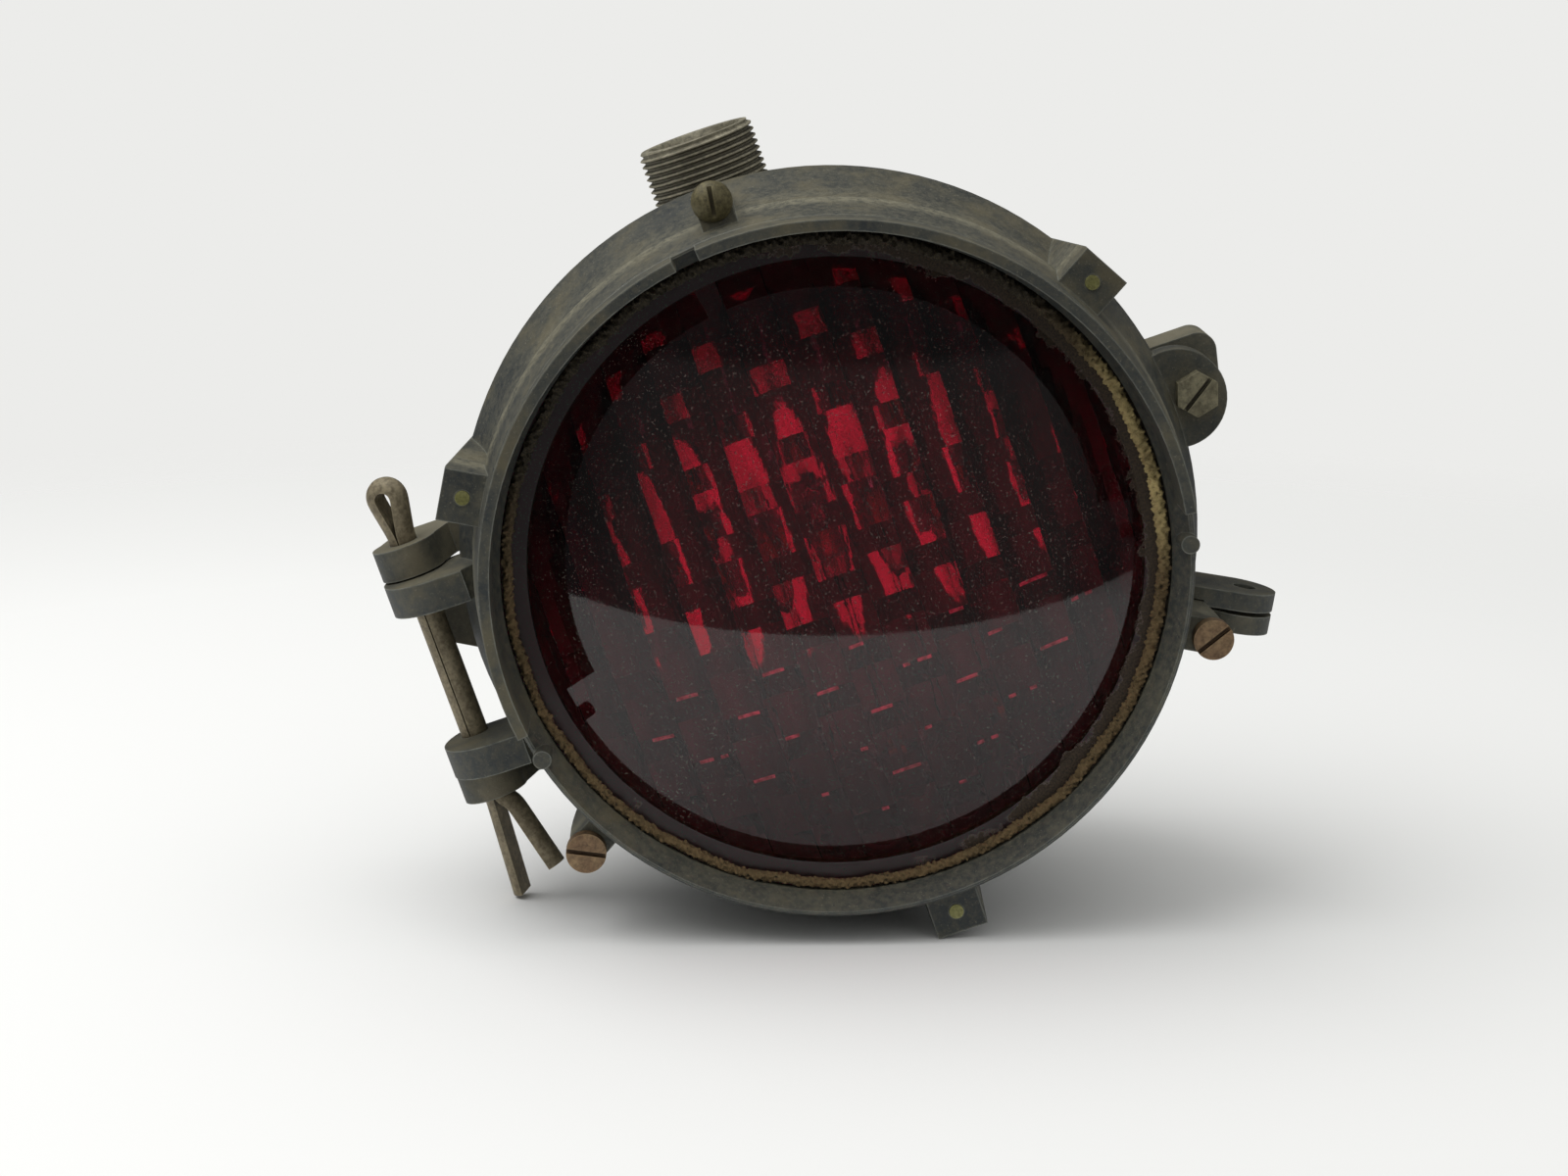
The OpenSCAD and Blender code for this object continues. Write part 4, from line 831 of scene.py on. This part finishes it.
# Studio: the head lies on a white table, its top tipped to the left, as in the photograph. The table ends
# a little in front of it, the room is dim there, and a broad soft light hangs above.
up = Vector(sky).normalized()
foot, table_end = -0.2439, -0.385
table_mat = blank("white table card")
reach = put(table_mat, "VectorMath", {0: put(table_mat, "TexCoord", out="Object")}, out="Value",
            operation="LENGTH")
solid = put(table_mat, "ValToRGB", {"Fac": reach}, stops=[(0.55, 1.0), (0.98, 0.0)])
under = put(table_mat, "NewGeometry", out="Backfacing")
above = put(table_mat, "Math", {0: 1.0, 1: under}, operation="SUBTRACT")
depth = put(table_mat, "SeparateXYZ", {"Vector": put(table_mat, "NewGeometry", out="Position")}, out="Y")
edge = put(table_mat, "Math", {0: depth, 1: table_end}, operation="GREATER_THAN")
straight = put(table_mat, "LightPath", out="Is Camera Ray")
shown = put(table_mat, "Math", {0: edge, 1: straight}, operation="MAXIMUM")
through = put(table_mat, "LightPath", out="Is Transmission Ray")
there = put(table_mat, "Math", {0: shown, 1: through}, operation="SUBTRACT", use_clamp=True)
topside = put(table_mat, "Math", {0: solid, 1: above}, operation="MULTIPLY")
share = put(table_mat, "Math", {0: topside, 1: there}, operation="MULTIPLY")
card = put(table_mat, "BsdfDiffuse", {"Color": "#f1f1f0"})
laid = put(table_mat, "MixShader", {0: share, 1: put(table_mat, "BsdfTransparent"), 2: card})
put(table_mat, "OutputMaterial", {"Surface": laid})
table_mesh = bpy.data.meshes.new("table")
disc = bmesh.new()
bmesh.ops.create_circle(disc, cap_ends=True, segments=96, radius=1.0)
disc.to_mesh(table_mesh)
disc.free()
table_mesh.materials.append(table_mat)
table = bpy.data.objects.new("table", table_mesh)
bpy.context.scene.collection.objects.link(table)
table.matrix_world = Matrix.Translation(up * foot) @ up.to_track_quat("Z", "Y").to_matrix().to_4x4()

# The camera sees a pale room, and metal mirrors a grey one with a paler screen in front. A look through
# the glass meets a dark room, or a bright front once it has come back out of the lens. The light that
# reaches the inside through the glass stays white.
front_light = 2.8
world = bpy.data.worlds.new("white room")
bpy.context.scene.world = world
world.use_nodes = True
world.node_tree.nodes.clear()
aim = put(world, "TexCoord", out="Generated")
aloft = put(world, "VectorMath", {0: aim, 1: up}, out="Value", operation="DOT_PRODUCT")
rightward = Vector((up.z, 0.0, -up.x))
aside = put(world, "VectorMath", {0: aim, 1: rightward}, out="Value", operation="DOT_PRODUCT")
ahead = put(world, "VectorMath", {0: aim, 1: (0, -1, 0)}, out="Value", operation="DOT_PRODUCT")
bearing = put(world, "Math", {0: aside, 1: ahead}, operation="ARCTAN2")
level = put(world, "MapRange", {"Value": aloft, "From Min": -1.0})
swing = put(world, "MapRange", {"Value": bearing, "From Min": -math.pi, "From Max": math.pi})
screen_up = put(world, "ValToRGB", {"Fac": level}, stops=[(0.715, 1.0), (0.735, 0.0)])
screen_on = put(world, "ValToRGB", {"Fac": swing}, stops=[(0.375, 0.0), (0.405, 1.0), (0.62, 1.0), (0.65, 0.0)])
screen = put(world, "Math", {0: screen_up, 1: screen_on}, operation="MULTIPLY")
mirrored = put(world, "Mix", {0: screen, 6: "#585858", 7: "#7f7b7a"}, out=2, data_type="RGBA")
lit = put(world, "ValToRGB", {"Fac": level}, stops=[(0.3, "#2c2c2c"), (0.5, "#6c6c6b"), (0.75, "#c2c3c2"),
                                                    (1.0, "#f8f8f6")])
seen = put(world, "Mix", {0: put(world, "LightPath", out="Is Camera Ray"), 6: lit, 7: "#ececea"}, out=2,
           data_type="RGBA")
room = put(world, "Mix", {0: put(world, "LightPath", out="Is Glossy Ray"), 6: seen, 7: mirrored}, out=2,
           data_type="RGBA")
passes = put(world, "LightPath", out="Transmission Depth")
twice = put(world, "Math", {0: passes, 1: 3.5}, operation="GREATER_THAN")
bounces = put(world, "LightPath", out="Diffuse Depth")
mirror = put(world, "Math", {0: bounces, 1: 0.5}, operation="LESS_THAN")
front_up = put(world, "ValToRGB", {"Fac": level}, stops=[(0.27, 0.02), (0.37, 1.0), (0.5, 1.0), (0.6, 0.1)])
front_on = put(world, "ValToRGB", {"Fac": swing}, stops=[(0.39, 0.05), (0.45, 1.0), (0.55, 1.0), (0.61, 0.05)])
window = put(world, "Math", {0: front_up, 1: front_on}, operation="MULTIPLY")
front = put(world, "Math", {0: window, 1: front_light}, operation="MULTIPLY")
unlit = put(world, "Mix", {0: mirror, 6: "#ffffff", 7: "#2c2c2c"}, out=2, data_type="RGBA")
returned = put(world, "Math", {0: twice, 1: mirror}, operation="MULTIPLY")
back_out = put(world, "Mix", {0: returned, 6: unlit, 7: front}, out=2, data_type="RGBA")
whole = put(world, "Mix", {0: put(world, "LightPath", out="Is Transmission Ray"), 6: room, 7: back_out}, out=2,
            data_type="RGBA")
put(world, "OutputWorld", {"Surface": put(world, "Background", {"Color": whole})})

lamp = bpy.data.lights.new("overhead", "AREA")
lamp.size = 1.6
lamp.energy = 16.0
light = bpy.data.objects.new("overhead", lamp)
bpy.context.scene.collection.objects.link(light)
light.location = (-0.25, -0.2, 1.35)
light.rotation_euler = (Vector((0, 0, -0.12)) - light.location).to_track_quat("-Z", "Y").to_euler()

away = 1113.54
tip, dip, roll = math.radians(-1.0138), math.radians(12.129), math.radians(-19.034)
sight = Vector((math.sin(tip) * math.cos(dip), math.cos(tip) * math.cos(dip), -math.sin(dip)))
level_right = sight.cross(Vector((0, 0, 1))).normalized()
level_up = level_right.cross(sight)
cam_right = level_right * math.cos(roll) + level_up * math.sin(roll)
cam_up = level_up * math.cos(roll) - level_right * math.sin(roll)
stand = in_frame(*(sight * -away))
lens_data = bpy.data.cameras.new("photo")
lens_data.sensor_width = 36.0
lens_data.lens = 76.5
lens_data.shift_x, lens_data.shift_y = -0.0352, -0.0098
camera = bpy.data.objects.new("photo", lens_data)
bpy.context.scene.collection.objects.link(camera)
camera.matrix_world = Matrix.Translation(stand) @ Matrix((cam_right, cam_up, -sight)).transposed().to_4x4()
bpy.context.scene.camera = camera
bpy.context.scene.view_settings.view_transform = "Standard"
